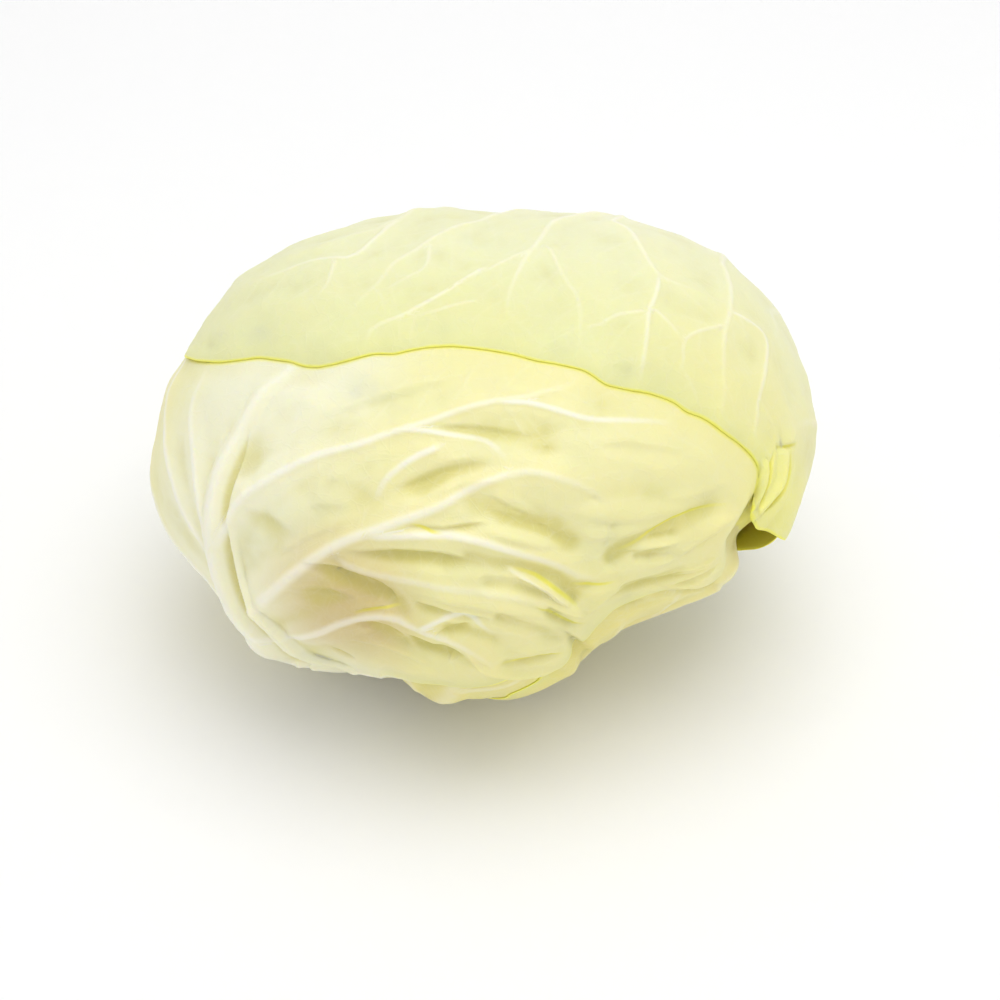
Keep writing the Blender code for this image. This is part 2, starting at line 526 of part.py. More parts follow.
def sheet(index, d):
    """Outer and inner radius of a leaf in directions d."""
    leaf = LEAVES[index]
    places = d * head_radius(d)[:, None]
    longer = slant(d)
    top = form(d, under=index > 1) - LAYER * longer * sum(other.cover(d) for other in LEAVES[:index])
    for number, other in list(enumerate(LEAVES))[index + 1 :]:
        rise = relief(number, d, places, FOLLOWING) + blended(other.lifts, places, FOLLOWING)
        top += other.cover(d) * rise
    top += blended(leaf.lifts, places)
    outer = np.minimum(top + relief(index, d, places), above_floor(d, index * LAYER))
    edge = np.clip(leaf.within(d) / THINNING, 0, 1)
    thickness = (MARGIN_THICKNESS + (BLADE_THICKNESS - MARGIN_THICKNESS) * edge) * longer
    inner = np.minimum(top, above_floor(d, index * LAYER)) - thickness
    return outer, inner


def heart_radius(d):
    places = d * head_radius(d)[:, None]
    under = form(d, under=True) - LAYER * slant(d) * sum(leaf.cover(d) for leaf in LEAVES)
    return np.minimum(under - HEART_SPARE + blended(HEART_RIBS, places), above_floor(d, len(LEAVES) * LAYER))


# Bodies


def material(name, colour, roughness):
    mat = bpy.data.materials.new(name)
    mat.use_nodes = True
    shader = mat.node_tree.nodes["Principled BSDF"]
    shader.inputs["Base Color"].default_value = (*colour, 1.0)
    shader.inputs["Roughness"].default_value = roughness
    mat.diffuse_color = (*colour, 1.0)
    return mat


def body(name, places, faces, colour, roughness, keep=1.0):
    """A named object from places and faces, thinned to a share of its triangles where it is flattest."""
    mesh = bpy.data.meshes.new(name)
    mesh.from_pydata([tuple(p) for p in places], [], faces)
    obj = bpy.data.objects.new(name, mesh)
    bpy.context.collection.objects.link(obj)
    mesh.materials.append(material(name, colour, roughness))
    mesh.shade_smooth()
    mesh.set_sharp_from_angle(angle=SHARP_FROM)
    if keep < 1.0:
        thin = obj.modifiers.new("thin_out", "DECIMATE")
        thin.ratio = keep
        thin.use_collapse_triangulate = True
    return obj


def leaf_body(index, cells, keep):
    """A closed sheet: the outer side, the inner side turned over, and a rim between them."""
    leaf = LEAVES[index]
    d = leaf.grid(cells)
    outer, inner = sheet(index, d)
    side = cells + 1
    number = np.arange(side * side).reshape(side, side)
    quads = np.stack([number[:-1, :-1], number[1:, :-1], number[1:, 1:], number[:-1, 1:]], -1).reshape(-1, 4)
    rim = np.concatenate([number[:-1, 0], number[-1, :-1], number[:0:-1, -1], number[0, :0:-1]])
    after = np.roll(rim, -1)
    below = side * side
    edge = np.stack([after, rim, rim + below, after + below], -1)
    faces = np.concatenate([quads, quads[:, ::-1] + below, edge])
    places = np.concatenate([d * outer[:, None], d * inner[:, None]])
    return body(leaf.name, places, faces.tolist(), leaf.colour, 0.45, keep)


def turned_rings(radii, spin):
    """Faces that join rings of `spin` places each, with one more place at either end."""
    first, last = 0, 1 + radii * spin
    ring = 1 + np.arange(radii * spin).reshape(radii, spin)
    step = np.roll(ring, -1, axis=1)
    faces = [(first, a, b) for a, b in zip(ring[0], step[0])]
    faces += np.stack([ring[:-1], ring[1:], step[1:], step[:-1]], -1).reshape(-1, 4).tolist()
    faces += [(last, b, a) for a, b in zip(ring[-1], step[-1])]
    return [tuple(int(i) for i in face) for face in faces]


def stem_places(profile, spin):
    """Rings of places round the stem's line, from (distance along it, radius) pairs."""
    around = np.linspace(0, 2 * pi, spin, endpoint=False)
    ring = np.cos(around)[:, None] * BACK_OF_STEM + np.sin(around)[:, None] * SIDE_OF_STEM
    return [at * STEM + radius * ring for at, radius in profile]


CORE_PROFILE = [
    (CORE_NECK_AT, CORE_NECK_RADIUS),
    (0.5 * (CORE_NECK_AT + CORE_TIP_AT), CORE_WAIST_RADIUS),
    (CORE_TIP_AT, CORE_TIP_RADIUS),
]


def heart_body(rings, spin):
    """The dense heart: rings from its crown to the stem's socket, then down the socket's wall to its bottom."""
    outs = 180 - (180 - SOCKET_MOUTH) * np.arange(1, rings + 1) / rings
    sides = np.degrees(np.linspace(0, 2 * pi, spin, endpoint=False))
    directions = [np.array(grown(*[(out, side) for side in sides])) for out in outs]
    rows = [d * heart_radius(d)[:, None] for d in directions]
    crown = -STEM * heart_radius(-STEM[None])[0]
    wall = [(at, radius + CORE_GAP) for at, radius in CORE_PROFILE]
    rows += stem_places(wall, spin)
    bottom = (CORE_TIP_AT - CORE_GAP) * STEM
    rows[-1] = rows[-1] - CORE_GAP * STEM
    places = np.vstack([crown[None]] + rows + [bottom[None]])
    faces = turned_rings(len(rows), spin)
    return body("heart", places, [f[::-1] for f in faces], PALE_FLESH, 0.5)


def stem_body(spin):
    """The stump with its flat cut face, tapering through the leaf bases into the core."""
    rim = [(STEM_CUT_AT, STEM_RADIUS - STEM_CUT_BEVEL), (STEM_CUT_AT - STEM_CUT_BEVEL, STEM_RADIUS)]
    rows = stem_places(rim + [(STEM_WAIST_AT, STEM_WAIST_RADIUS)] + CORE_PROFILE, spin)
    places = np.vstack([STEM_CUT_AT * STEM] + rows + [CORE_TIP_AT * STEM])
    return body("stem", places, turned_rings(len(rows), spin), PALE_FLESH, 0.6)


def settled(objects):
    """Applies the thinning, moves the head so that it stands over the origin, and evens out its rest spot."""
    bpy.context.view_layer.update()
    graph = bpy.context.evaluated_depsgraph_get()
    meshes = [bpy.data.meshes.new_from_object(obj.evaluated_get(graph)) for obj in objects]
    corners = np.array([v.co[:] for mesh in meshes for v in mesh.vertices])
    low, high = corners.min(0), corners.max(0)
    shift = np.array([(low[0] + high[0]) / 2, (low[1] + high[1]) / 2, -REST_HEIGHT])
    for obj, mesh in zip(objects, meshes):
        obj.modifiers.clear()
        obj.data = mesh
        mesh.name = obj.name
        for v in mesh.vertices:
            v.co = [a - b for a, b in zip(v.co, shift)]
            if v.co.z < REST_EVENNESS:
                v.co.z = 0.0


def main():
    for obj in list(bpy.data.objects):
        bpy.data.objects.remove(obj)
    objects = [leaf_body(index, cells, keep) for index, (cells, keep) in enumerate(LEAF_CELLS)]
    objects += [heart_body(HEART_RINGS, SPIN), stem_body(SPIN)]
    settled(objects)


if __name__ == "__main__":
    main()
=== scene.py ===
# %% [markdown]
# # A head of green cabbage, leaf by leaf
# A cabbage head is one huge bud. Every leaf wraps round the leaves inside it, with its ribs standing out
# on the outside and its thin margin lying loosely on its neighbour. The solids loaded here already have
# the size, the leaves and the main ribs of one such head. Each solid is now replaced by a finer piece of
# the same form, with branching veins, crinkles, a curled corner and a soft, waxy finish that lets a
# little light through.

from math import cos, hypot, pi, radians, sin

import bpy
import numpy as np
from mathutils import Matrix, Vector


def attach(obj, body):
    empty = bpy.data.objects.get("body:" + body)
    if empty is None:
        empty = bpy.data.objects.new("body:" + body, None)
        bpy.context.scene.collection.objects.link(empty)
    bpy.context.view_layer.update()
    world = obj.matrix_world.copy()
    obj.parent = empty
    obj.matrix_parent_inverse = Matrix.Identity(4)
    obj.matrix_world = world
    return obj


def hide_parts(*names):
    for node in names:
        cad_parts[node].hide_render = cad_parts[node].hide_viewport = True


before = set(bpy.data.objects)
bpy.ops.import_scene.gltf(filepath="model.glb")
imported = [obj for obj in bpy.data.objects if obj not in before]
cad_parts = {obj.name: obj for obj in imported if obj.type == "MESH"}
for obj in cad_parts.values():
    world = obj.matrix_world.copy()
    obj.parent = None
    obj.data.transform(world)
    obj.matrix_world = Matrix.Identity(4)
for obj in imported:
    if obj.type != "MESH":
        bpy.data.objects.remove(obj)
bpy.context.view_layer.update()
print("solids:", ", ".join(sorted(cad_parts)))

# %% [markdown]
# ## The form that all leaves share
# A real head is pressed into shape by its own growing leaves, so its outside is one smooth form and each
# leaf is a sheet that follows it. It could be sculpted by hand, but then five leaves would have to be
# fitted to one another by eye. Here the form is a function instead: it gives the distance from the head's
# centre to its outside in any direction. The lengths are metres, and they are the same ones that the
# solids were made with.

# %% The head's main sizes
MM = 1000
HALF_WIDTH = 0.115
HALF_DEPTH = 0.098
HALF_HEIGHT = 0.076
HALVES = np.array([HALF_WIDTH, HALF_DEPTH, HALF_HEIGHT])
MEAN_RADIUS = 0.092
REST_HEIGHT = 0.0735  # from the flat spot up to the head's centre
STEM_AROUND = -40  # degrees from the front, counted to the right
STEM_UP = -62  # degrees above level, so the stem points down and a little forwards
BACK_RIB_AROUND = 146  # where the crown leaf's midrib comes up
STEM_CUT_AT = 0.0735  # from the head's centre to the stem's cut face
STEM_DIMPLE = 0.009
DIMPLE_REACH = radians(19)
LEAF_BASE = 12.3  # degrees from the stem's line at which the leaf bases end


def unit(v):
    """Vectors of length one in the directions of v."""
    v = np.asarray(v, float)
    return v / np.linalg.norm(v, axis=-1, keepdims=True)


def turned(around, up):
    """The direction `around` degrees from the front, counted to the right, and `up` degrees above level."""
    a, u = radians(around), radians(up)
    return np.array([sin(a) * cos(u), -cos(a) * cos(u), sin(u)])


STEM = turned(STEM_AROUND, STEM_UP)
BACK_OF_STEM = unit(np.cross(np.cross(STEM, turned(BACK_RIB_AROUND, 0)), STEM))
SIDE_OF_STEM = np.cross(STEM, BACK_OF_STEM)
print("the stem points along", np.round(STEM, 3))


def grown(*steps):
    """Directions as pairs: degrees out from the stem, and round it from the back towards the right."""
    out, side = np.radians(np.array(steps, float)).T[:, :, None]
    away = np.cos(side) * BACK_OF_STEM + np.sin(side) * SIDE_OF_STEM
    return list(np.cos(out) * STEM + np.sin(out) * away)


# %% Where the head's centre is
# The stem's cut face lies a known way from the centre, so the solid stem tells where the centre is.
stem_points = np.unique(np.round([v.co[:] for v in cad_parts["stem"].data.vertices], 5), axis=0)
along = stem_points @ STEM
cut_face = stem_points[along > along.max() - 0.0001]
CENTRE = (cut_face.min(0) + cut_face.max(0)) / 2 - STEM_CUT_AT * STEM
CENTRE[2] = REST_HEIGHT
print("head centre, mm:", np.round(MM * CENTRE, 2))

# %% [markdown]
# ## Reading places off one view
# The ribs and folds of a leaf are easiest to lay out as they are seen from the front. The layout is a
# slanting plane through the head's centre, with an eye in front of it. A sight line from the eye through
# a layout point meets the head at one place, and that place is where the rib runs. The camera at the end
# stands at the same eye. Angles would do too, and they are used for everything that can't be seen from
# there, but it is hard to picture a curve from its angles.

# %% The layout plane and its eye
SIGHT_RISE = radians(40)
SIGHT_DISTANCE = 0.862
POINTS_PER_METRE = 2900.0
PLANE_CENTRE = (484.0, 452.0)
PLANE_MIDDLE = (500.0, 500.0)
AHEAD = np.array([0.0, cos(SIGHT_RISE), -sin(SIGHT_RISE)])
ACROSS = np.array([1.0, 0.0, 0.0])
UPWARD = np.array([0.0, sin(SIGHT_RISE), cos(SIGHT_RISE)])

# The head's outline on that plane, going round from its right end over the top
HEAD_OUTLINE = [
    (817, 430), (803, 360), (770, 292), (740, 264), (702, 238), (654, 219), (601, 210), (565, 206),
    (500, 208), (439, 202), (382, 211), (335, 223), (293, 238), (233, 275), (200, 323), (171, 363),
    (160, 415), (154, 450), (157, 499), (171, 537), (189, 557), (215, 582), (236, 610), (264, 637),
    (302, 650), (344, 660), (385, 668), (426, 686), (475, 697), (505, 702), (532, 691), (569, 669),
    (599, 634), (631, 614), (677, 598), (711, 589), (737, 566), (779, 546), (791, 515), (806, 485),
]


def on_plane(points):
    """Layout points as places on the slanting plane, measured from the head's centre."""
    p = (np.atleast_2d(np.asarray(points, float)) - PLANE_CENTRE) / POINTS_PER_METRE
    return p[:, :1] * ACROSS - p[:, 1:] * UPWARD


EYE = on_plane(PLANE_MIDDLE)[0] - SIGHT_DISTANCE * AHEAD


# %% The smooth form
SIGHT_SPREAD = 1.006  # an outline seen from a near eye is this much larger than its body
OUTLINE_REACH = 16  # degrees to either side over which the outline is smoothed
OUTLINE_SPREAD = 3.0


def bell(reach, spread):
    """Weights of a soft average over `reach` places to either side."""
    weights = np.exp(-0.5 * (np.arange(-reach, reach + 1) / spread) ** 2)
    return weights / weights.sum()


def smoothed_round(values, reach, spread):
    """Values that go round in a ring, each averaged softly with its neighbours."""
    wrapped = np.concatenate([values[-reach:], values, values[:reach]])
    return np.convolve(wrapped, bell(reach, spread), "valid")


def outline_table():
    """How far the outline stands out from the ellipsoid's own, degree by degree."""
    p = on_plane(HEAD_OUTLINE)
    x, y = p @ ACROSS, p @ UPWARD
    angle = np.arctan2(y, x)
    tall = hypot(HALF_DEPTH * sin(SIGHT_RISE), HALF_HEIGHT * cos(SIGHT_RISE))
    ratio = np.hypot(x, y) * np.hypot(np.cos(angle) / HALF_WIDTH, np.sin(angle) / tall)
    order = np.argsort(angle)
    degrees = np.radians(np.arange(-180, 180))
    table = np.interp(degrees, angle[order], ratio[order], period=2 * pi)
    return degrees, smoothed_round(table, OUTLINE_REACH, OUTLINE_SPREAD)


OUTLINE_ANGLE, OUTLINE_RATIO = outline_table()
print("the outline is", np.round([OUTLINE_RATIO.min(), OUTLINE_RATIO.max()], 3), "times the ellipsoid's")


def head_radius(d):
    """Distance from the head's centre to its smooth outside in direction d."""
    plain = 1 / np.linalg.norm(d / HALVES, axis=-1)
    angle = np.arctan2(d @ UPWARD, d @ ACROSS)
    ratio = np.interp(angle, OUTLINE_ANGLE, OUTLINE_RATIO, period=2 * pi)
    return plain * (1 + (ratio - 1) * (1 - (d @ AHEAD) ** 2)) / SIGHT_SPREAD


SMALL_TURN = 0.02


def slant(d):
    """How much longer a way through the head's skin is along d than straight through."""
    east = unit(np.cross((0.0, 0.0, 1.0), d))
    north = np.cross(d, east)
    slopes = [
        head_radius(unit(d + SMALL_TURN * way)) - head_radius(unit(d - SMALL_TURN * way))
        for way in (east, north)
    ]
    return np.sqrt(1 + (np.square(slopes).sum(0)) / (2 * SMALL_TURN * head_radius(d)) ** 2)


# %% Where a sight line meets the head
SEARCH_DEPTH = 0.2  # further than any place of the head is from its middle
HALVINGS = 32


def crossed(points, side):
    """Directions of the places where sight lines through layout points cross the head's outside.

    Side -1 gives the crossing nearer to the eye, and side 1 the one behind the head. The stretch that holds
    it is halved again and again.
    """
    line = unit(on_plane(points) - EYE)
    inner = -(line @ EYE)
    outer = inner + side * SEARCH_DEPTH
    for _ in range(HALVINGS):
        middle = (inner + outer) / 2
        place = EYE + middle[:, None] * line
        out = np.linalg.norm(place, axis=1)
        within = out < head_radius(place / out[:, None])
        inner, outer = np.where(within, middle, inner), np.where(within, outer, middle)
    return list(unit(EYE + inner[:, None] * line))


def seen(*points):
    """Places on the head's near side, as directions, given where they are seen on the layout."""
    return crossed(points, -1)


def behind(*points):
    """Places on the head's far side, as directions, given where they would be seen through the head."""
    return crossed(points, 1)


# %% [markdown]
# ## Ribs, folds and lifts
# A rib is a narrow crest on a soft swell, wide and high at the leaf's base and fading towards its margin.
# A fold is a valley or a swell with one steep side, because a limp blade hangs over a little, like cloth.
# Both could be pulled out of a mesh with proportional editing, one by one. As functions they can be used
# twice: to raise the leaf itself, and to raise the leaf that lies on top of it. Each also tells the paint
# how far across its line a place lies, so that pale stripes and the yellow painted shade of creases follow
# the form exactly.

# %% Lines on the head
TRACE_STEP = 0.003
LEGS_AT_ONCE = 8  # how many legs of a line are compared with the places in one go


def traced(directions, step):
    """A line on the head's outside along some directions, its corners cut twice, as places a step apart."""
    p = np.array(directions)
    for _ in range(2):
        cut = np.stack([0.75 * p[:-1] + 0.25 * p[1:], 0.25 * p[:-1] + 0.75 * p[1:]], 1).reshape(-1, 3)
        p = np.vstack([p[:1], cut, p[-1:]])
    p = unit(p)
    p = p * head_radius(p)[:, None]
    run = np.concatenate([[0], np.cumsum(np.linalg.norm(np.diff(p, axis=0), axis=1))])
    even = np.linspace(0, run[-1], max(3, int(run[-1] / step)))
    return np.stack([np.interp(even, run, p[:, i]) for i in range(3)], 1)


def nearest(places, line):
    """Distance from each place to the line, the share of the line passed there, and the side it lies on."""
    start, leg = line[:-1], np.diff(line, axis=0)
    offset = places[:, None] - start
    t = np.clip((offset * leg).sum(-1) / (leg * leg).sum(-1), 0, 1)
    away = offset - t[..., None] * leg
    distance = np.linalg.norm(away, axis=-1)
    best = distance.argmin(1)
    row = np.arange(len(places))
    side = (np.cross(leg[best], away[row, best]) * places).sum(-1)
    return distance[row, best], (best + t[row, best]) / len(leg), side


# %% A ridge, a rib, a fold and a step
FAR_ACROSS = 3.0  # the way across that is told where no line is near


def hump(x):
    """1 where x is 0, falling smoothly to 0 where x is 1."""
    return np.clip(1 - x * x, 0, 1) ** 2


def signed(distance, side):
    """The distance, negative on the right of the line."""
    return np.where(side > 0, distance, -distance)


class Ridge:
    """A rounded ridge, or a valley if its height is negative. Height and width change along its line."""

    STRIPE = 0.80  # half width of the pale stripe, as a share of the ridge's
    STRIPE_SEEN = 1.8  # how far out the way across the line is told
    shade_line = False

    def __init__(self, directions, height, half_width, end_height=0.0, end_half_width=None, pale=1.0):
        self.line = traced(directions, min(TRACE_STEP, 1.5 * half_width))
        self.heights = (height, end_height)
        self.widths = (half_width, half_width if end_half_width is None else end_half_width)
        self.pale = pale

    def close_to(self, places, reach):
        """For the places within reach of the line: their numbers, distance, share of the line and side."""
        distance = np.full(len(places), reach)
        share, side = np.zeros(len(places)), np.zeros(len(places))
        legs = len(self.line) - 1
        for first in range(0, legs, LEGS_AT_ONCE):
            part = self.line[first : first + LEGS_AT_ONCE + 1]
            middle = part.mean(0)
            radius = np.linalg.norm(part - middle, axis=1).max() + reach
            near = np.flatnonzero(np.square(places - middle).sum(1) < radius**2)
            if len(near) == 0:
                continue
            away, along, left = nearest(places[near], part)
            closer = away < distance[near]
            near = near[closer]
            distance[near] = away[closer]
            share[near] = (first + along[closer] * (len(part) - 1)) / legs
            side[near] = left[closer]
        found = np.flatnonzero(distance < reach)
        return found, distance[found], share[found], side[found]

    def rise(self, places, spread=1.0):
        """The numbers of the places near the line, how high it raises them, their way across, its paleness.

        The way across is 0 on the line, and 1 or -1 at the two sides of the pale stripe that runs along it.
        """
        reach = max(self.widths) * max(spread, self.STRIPE_SEEN)
        found, distance, share, side = self.close_to(places, reach)
        width = np.interp(share, (0, 1), self.widths)
        height = np.interp(share, (0, 1), self.heights) * hump(distance / (width * spread))
        fading = np.interp(share, (0.6, 1.0), (1.0, 0.45))
        return found, height, signed(distance, side) / (self.STRIPE * width), self.pale * fading


class Rib(Ridge):
    """A narrow pale crest on a broad soft swell. A midrib is so wide that it needs no swell."""

    MIDRIB = 0.009  # a rib that starts with more than this half width is a midrib
    SWELL = 0.60  # share of the height that the swell has
    SWELL_REACH = 2.1
    CREST_REACH = 0.66
    STRIPE = 0.52

    def rise(self, places, spread=1.0):
        if self.widths[0] > self.MIDRIB:
            return super().rise(places, spread)
        found, distance, share, side = self.close_to(places, max(self.widths) * spread * self.SWELL_REACH)
        width = np.interp(share, (0, 1), self.widths)
        swell = hump(distance / (self.SWELL_REACH * spread * width))
        crest = hump(distance / (self.CREST_REACH * spread * width))
        growing = np.interp(share, (0.0, 0.06), (0.35, 1.0))
        height = growing * np.interp(share, (0, 1), self.heights)
        height = height * (self.SWELL * swell + (1 - self.SWELL) * crest)
        fading = growing * np.interp(share, (0.4, 0.8, 1.0), (1.0, 0.6, 0.0))
        return found, height, signed(distance, side) / (self.STRIPE * width), self.pale * fading


class Fold(Ridge):
    """A valley, or a swell, that narrows and fades out at both ends, with one steep side.

    Walking along its line, the steep side is on the left of a valley and on the right of a swell. So folds
    that are laid out from left to right all hang over a little, like cloth.
    """

    # The yellow line in a sharp fold is painted shade
    CREASE = 0.0009  # half width of the yellow line in a sharp fold
    NARROW = 0.35  # width at the ends, as a share of the middle's

    def __init__(self, directions, height, half_width, lean=0.5, shade_line=False):
        super().__init__(directions, height, half_width)
        self.lean, self.shade_line = lean, shade_line

    def rise(self, places, spread=1.0):
        found, distance, share, side = self.close_to(places, self.widths[0] * max(spread, 1.0))
        along = hump(np.clip(np.abs(2 * share - 1) * 1.3 - 0.3, 0, 1))  # full in the middle, 0 at the ends
        width = self.widths[0] * (self.NARROW + (1 - self.NARROW) * along)
        width = np.where(side * self.heights[0] < 0, self.lean * width, width)
        height = self.heights[0] * along * hump(distance / (width * spread))
        return found, height, signed(distance, side) / self.CREASE, along


class Step(Ridge):
    """A step up on one side of its line, lost at the line's ends and over its half width away from it."""

    RISER = 0.0020  # how wide the slope of the step is

    def rise(self, places, spread=1.0):
        found, distance, share, side = self.close_to(places, self.widths[0])
        foot = np.clip(signed(distance, side) / self.RISER + 0.5 * spread, 0, 1)
        slope = np.clip(1 - distance / self.widths[0], 0, 1) ** 2
        along = np.interp(share, (0, 0.3, 0.6, 1), (0, 1, 0.8, 0)) * self.heights[0]
        return found, along * foot * slope, np.full(len(found), FAR_ACROSS), np.zeros(len(found))


def blended(ridges, places, spread=1.0):
    """Height of ridges together, and the way across the closest line and its paleness.

    Where two ridges meet, they merge, and so do two valleys. A valley in a ridge is cut into it in full.
    """
    up, down = np.zeros(len(places)), np.zeros(len(places))
    across, pale = np.full(len(places), FAR_ACROSS), np.zeros(len(places))
    for ridge in ridges:
        found, rise, way, tint = ridge.rise(places, spread)
        up[found] += np.maximum(rise, 0) ** 3
        down[found] += np.maximum(-rise, 0) ** 3
        closer = np.abs(way) < np.abs(across[found])
        across[found[closer]] = way[closer]
        pale[found[closer]] = tint[closer]
    return np.cbrt(up) - np.cbrt(down), across, pale


# %% [markdown]
# ## The folds of the head
# The blade of the front leaf is longer than the head is round, so it has gathered into soft folds low on
# the front, with hollows between its ribs. The first list has the large ones, which the solids have too.
# The others are the finer ones that make it look limp. They belong to the head's form and not to one
# leaf, so the leaves underneath give way to every valley. A cloth simulation makes folds like these, but
# it lets them fall where they like. Laid out one by one, each lies where it does on this head.

# %% Lay out the folds
FOLDS = [
    Ridge(seen((337, 560), (364, 574)), -0.0012, 0.0035),
    Ridge(seen((305, 581), (351, 582), (374, 585), (392, 597), (401, 611)), -0.0006, 0.0050, -0.0016),
    Ridge(seen((466, 492), (500, 508), (527, 519), (550, 529), (569, 542)), -0.0014, 0.0075, -0.0022),
    Ridge(seen((470, 429), (500, 431), (527, 433), (545, 445)), -0.0008, 0.0080, -0.0014),
    Ridge(seen((470, 558), (504, 565), (539, 570), (562, 579), (573, 597)), -0.0020, 0.0052, -0.0024),
    Ridge(seen((488, 584), (516, 584), (546, 593)), -0.0016, 0.0040, -0.0010),
    Ridge(seen((449, 629), (470, 631), (493, 637)), -0.0020, 0.0048, -0.0012),
    Ridge(seen((378, 628), (404, 641)), -0.0016, 0.0048, -0.0010),
    Ridge(seen((443, 648), (468, 661)), -0.0012, 0.0040, -0.0008),
    Ridge(seen((550, 613), (562, 620), (576, 627)), -0.0014, 0.0036, -0.0008),
    Ridge(seen((500, 618), (527, 627), (562, 641)), -0.0014, 0.0036, -0.0008),
    Ridge(seen((507, 664), (534, 659), (555, 656)), -0.0012, 0.0036, -0.0006),
    Ridge(seen((615, 556), (631, 547), (649, 535), (667, 529), (681, 522), (700, 512), (731, 504)),
        -0.0022, 0.0060, -0.0006),
    Ridge(seen((638, 556), (654, 551), (672, 554)), -0.0014, 0.0034, -0.0008),
    Ridge(seen((576, 586), (599, 585), (615, 579)), -0.0016, 0.0036, -0.0008),
    Ridge(seen((625, 586), (652, 580), (680, 571)), -0.0014, 0.0040, -0.0008),
    Ridge(seen((560, 480), (600, 452), (650, 450), (690, 470)), 0.0016, 0.0130, 0.0010),
    Ridge(seen((600, 590), (650, 567), (700, 548)), 0.0014, 0.0060, 0.0008),
    Ridge(seen((300, 530), (340, 500), (372, 470)), 0.0014, 0.0120, 0.0008),
    Ridge(seen((250, 470), (262, 440), (290, 410)), -0.0006, 0.0070, -0.0003),
]

# Smaller folds between the ribs. First the left and the upper part:
FOLDS += [
    Fold(seen((236, 505), (262, 518), (288, 530), (308, 545)), -0.0008, 0.0064),
    Fold(seen((298, 510), (335, 507), (366, 510)), -0.0005, 0.0040),
    Fold(seen((318, 476), (345, 487), (380, 500)), -0.0008, 0.0070),
    Fold(seen((262, 405), (249, 432), (238, 462), (229, 495), (228, 520), (231, 548), (237, 570),
        (247, 588), (255, 604)), -0.0018, 0.0044),
    Fold(seen((228, 510), (231, 543), (237, 570), (247, 593), (257, 612), (270, 627), (286, 641),
        (304, 654), (322, 664)), -0.0042, 0.0066, lean=0.3),
    Fold(seen((425, 427), (455, 428), (478, 429), (505, 433), (535, 437), (556, 442)), -0.0017, 0.0050),
    Fold(seen((382, 493), (405, 487), (430, 481), (448, 471), (475, 466), (512, 465)), -0.0020, 0.0075),
    Fold(seen((468, 492), (490, 511), (512, 519), (535, 525), (558, 536), (592, 546)), -0.0021, 0.0056,
        lean=0.4),
    Fold(seen((396, 523), (425, 527), (437, 531), (455, 529), (480, 525), (500, 521)), -0.0014, 0.0036),
    Fold(seen((410, 523), (424, 526), (433, 532), (444, 533)), -0.0006, 0.0018, shade_line=True),
    Fold(seen((480, 487), (503, 499), (525, 510), (550, 520)), 0.0008, 0.0036),
    Fold(seen((476, 530), (505, 536), (535, 542), (572, 550)), 0.0010, 0.0044),
    Fold(seen((300, 425), (350, 404), (410, 388), (480, 370)), 0.0006, 0.0055),
    Fold(seen((330, 415), (385, 400), (450, 380)), -0.0005, 0.0050),
    Fold(seen((300, 490), (340, 477), (380, 458), (420, 444)), 0.0008, 0.0050),
    Fold(seen((520, 440), (560, 446), (610, 440), (660, 446)), 0.0009, 0.0060),
    Fold(seen((590, 452), (615, 445), (650, 452), (690, 458)), -0.0009, 0.0055),
    Fold(seen((545, 500), (590, 515), (640, 518), (690, 505)), 0.0011, 0.0065),
    Fold(seen((560, 530), (600, 538), (640, 530), (680, 516)), 0.0008, 0.0045),
    Fold(seen((600, 556), (606, 545), (612, 530), (616, 515)), -0.0006, 0.0040),
    Fold(seen((584, 492), (600, 499), (614, 510)), -0.0005, 0.0024),
    Fold(seen((660, 500), (700, 492), (735, 478)), 0.0009, 0.0050),
    Fold(seen((275, 560), (300, 545), (330, 532), (360, 520)), -0.0006, 0.0040),
    Fold(seen((420, 500), (455, 484), (490, 474)), 0.0006, 0.0040),
]

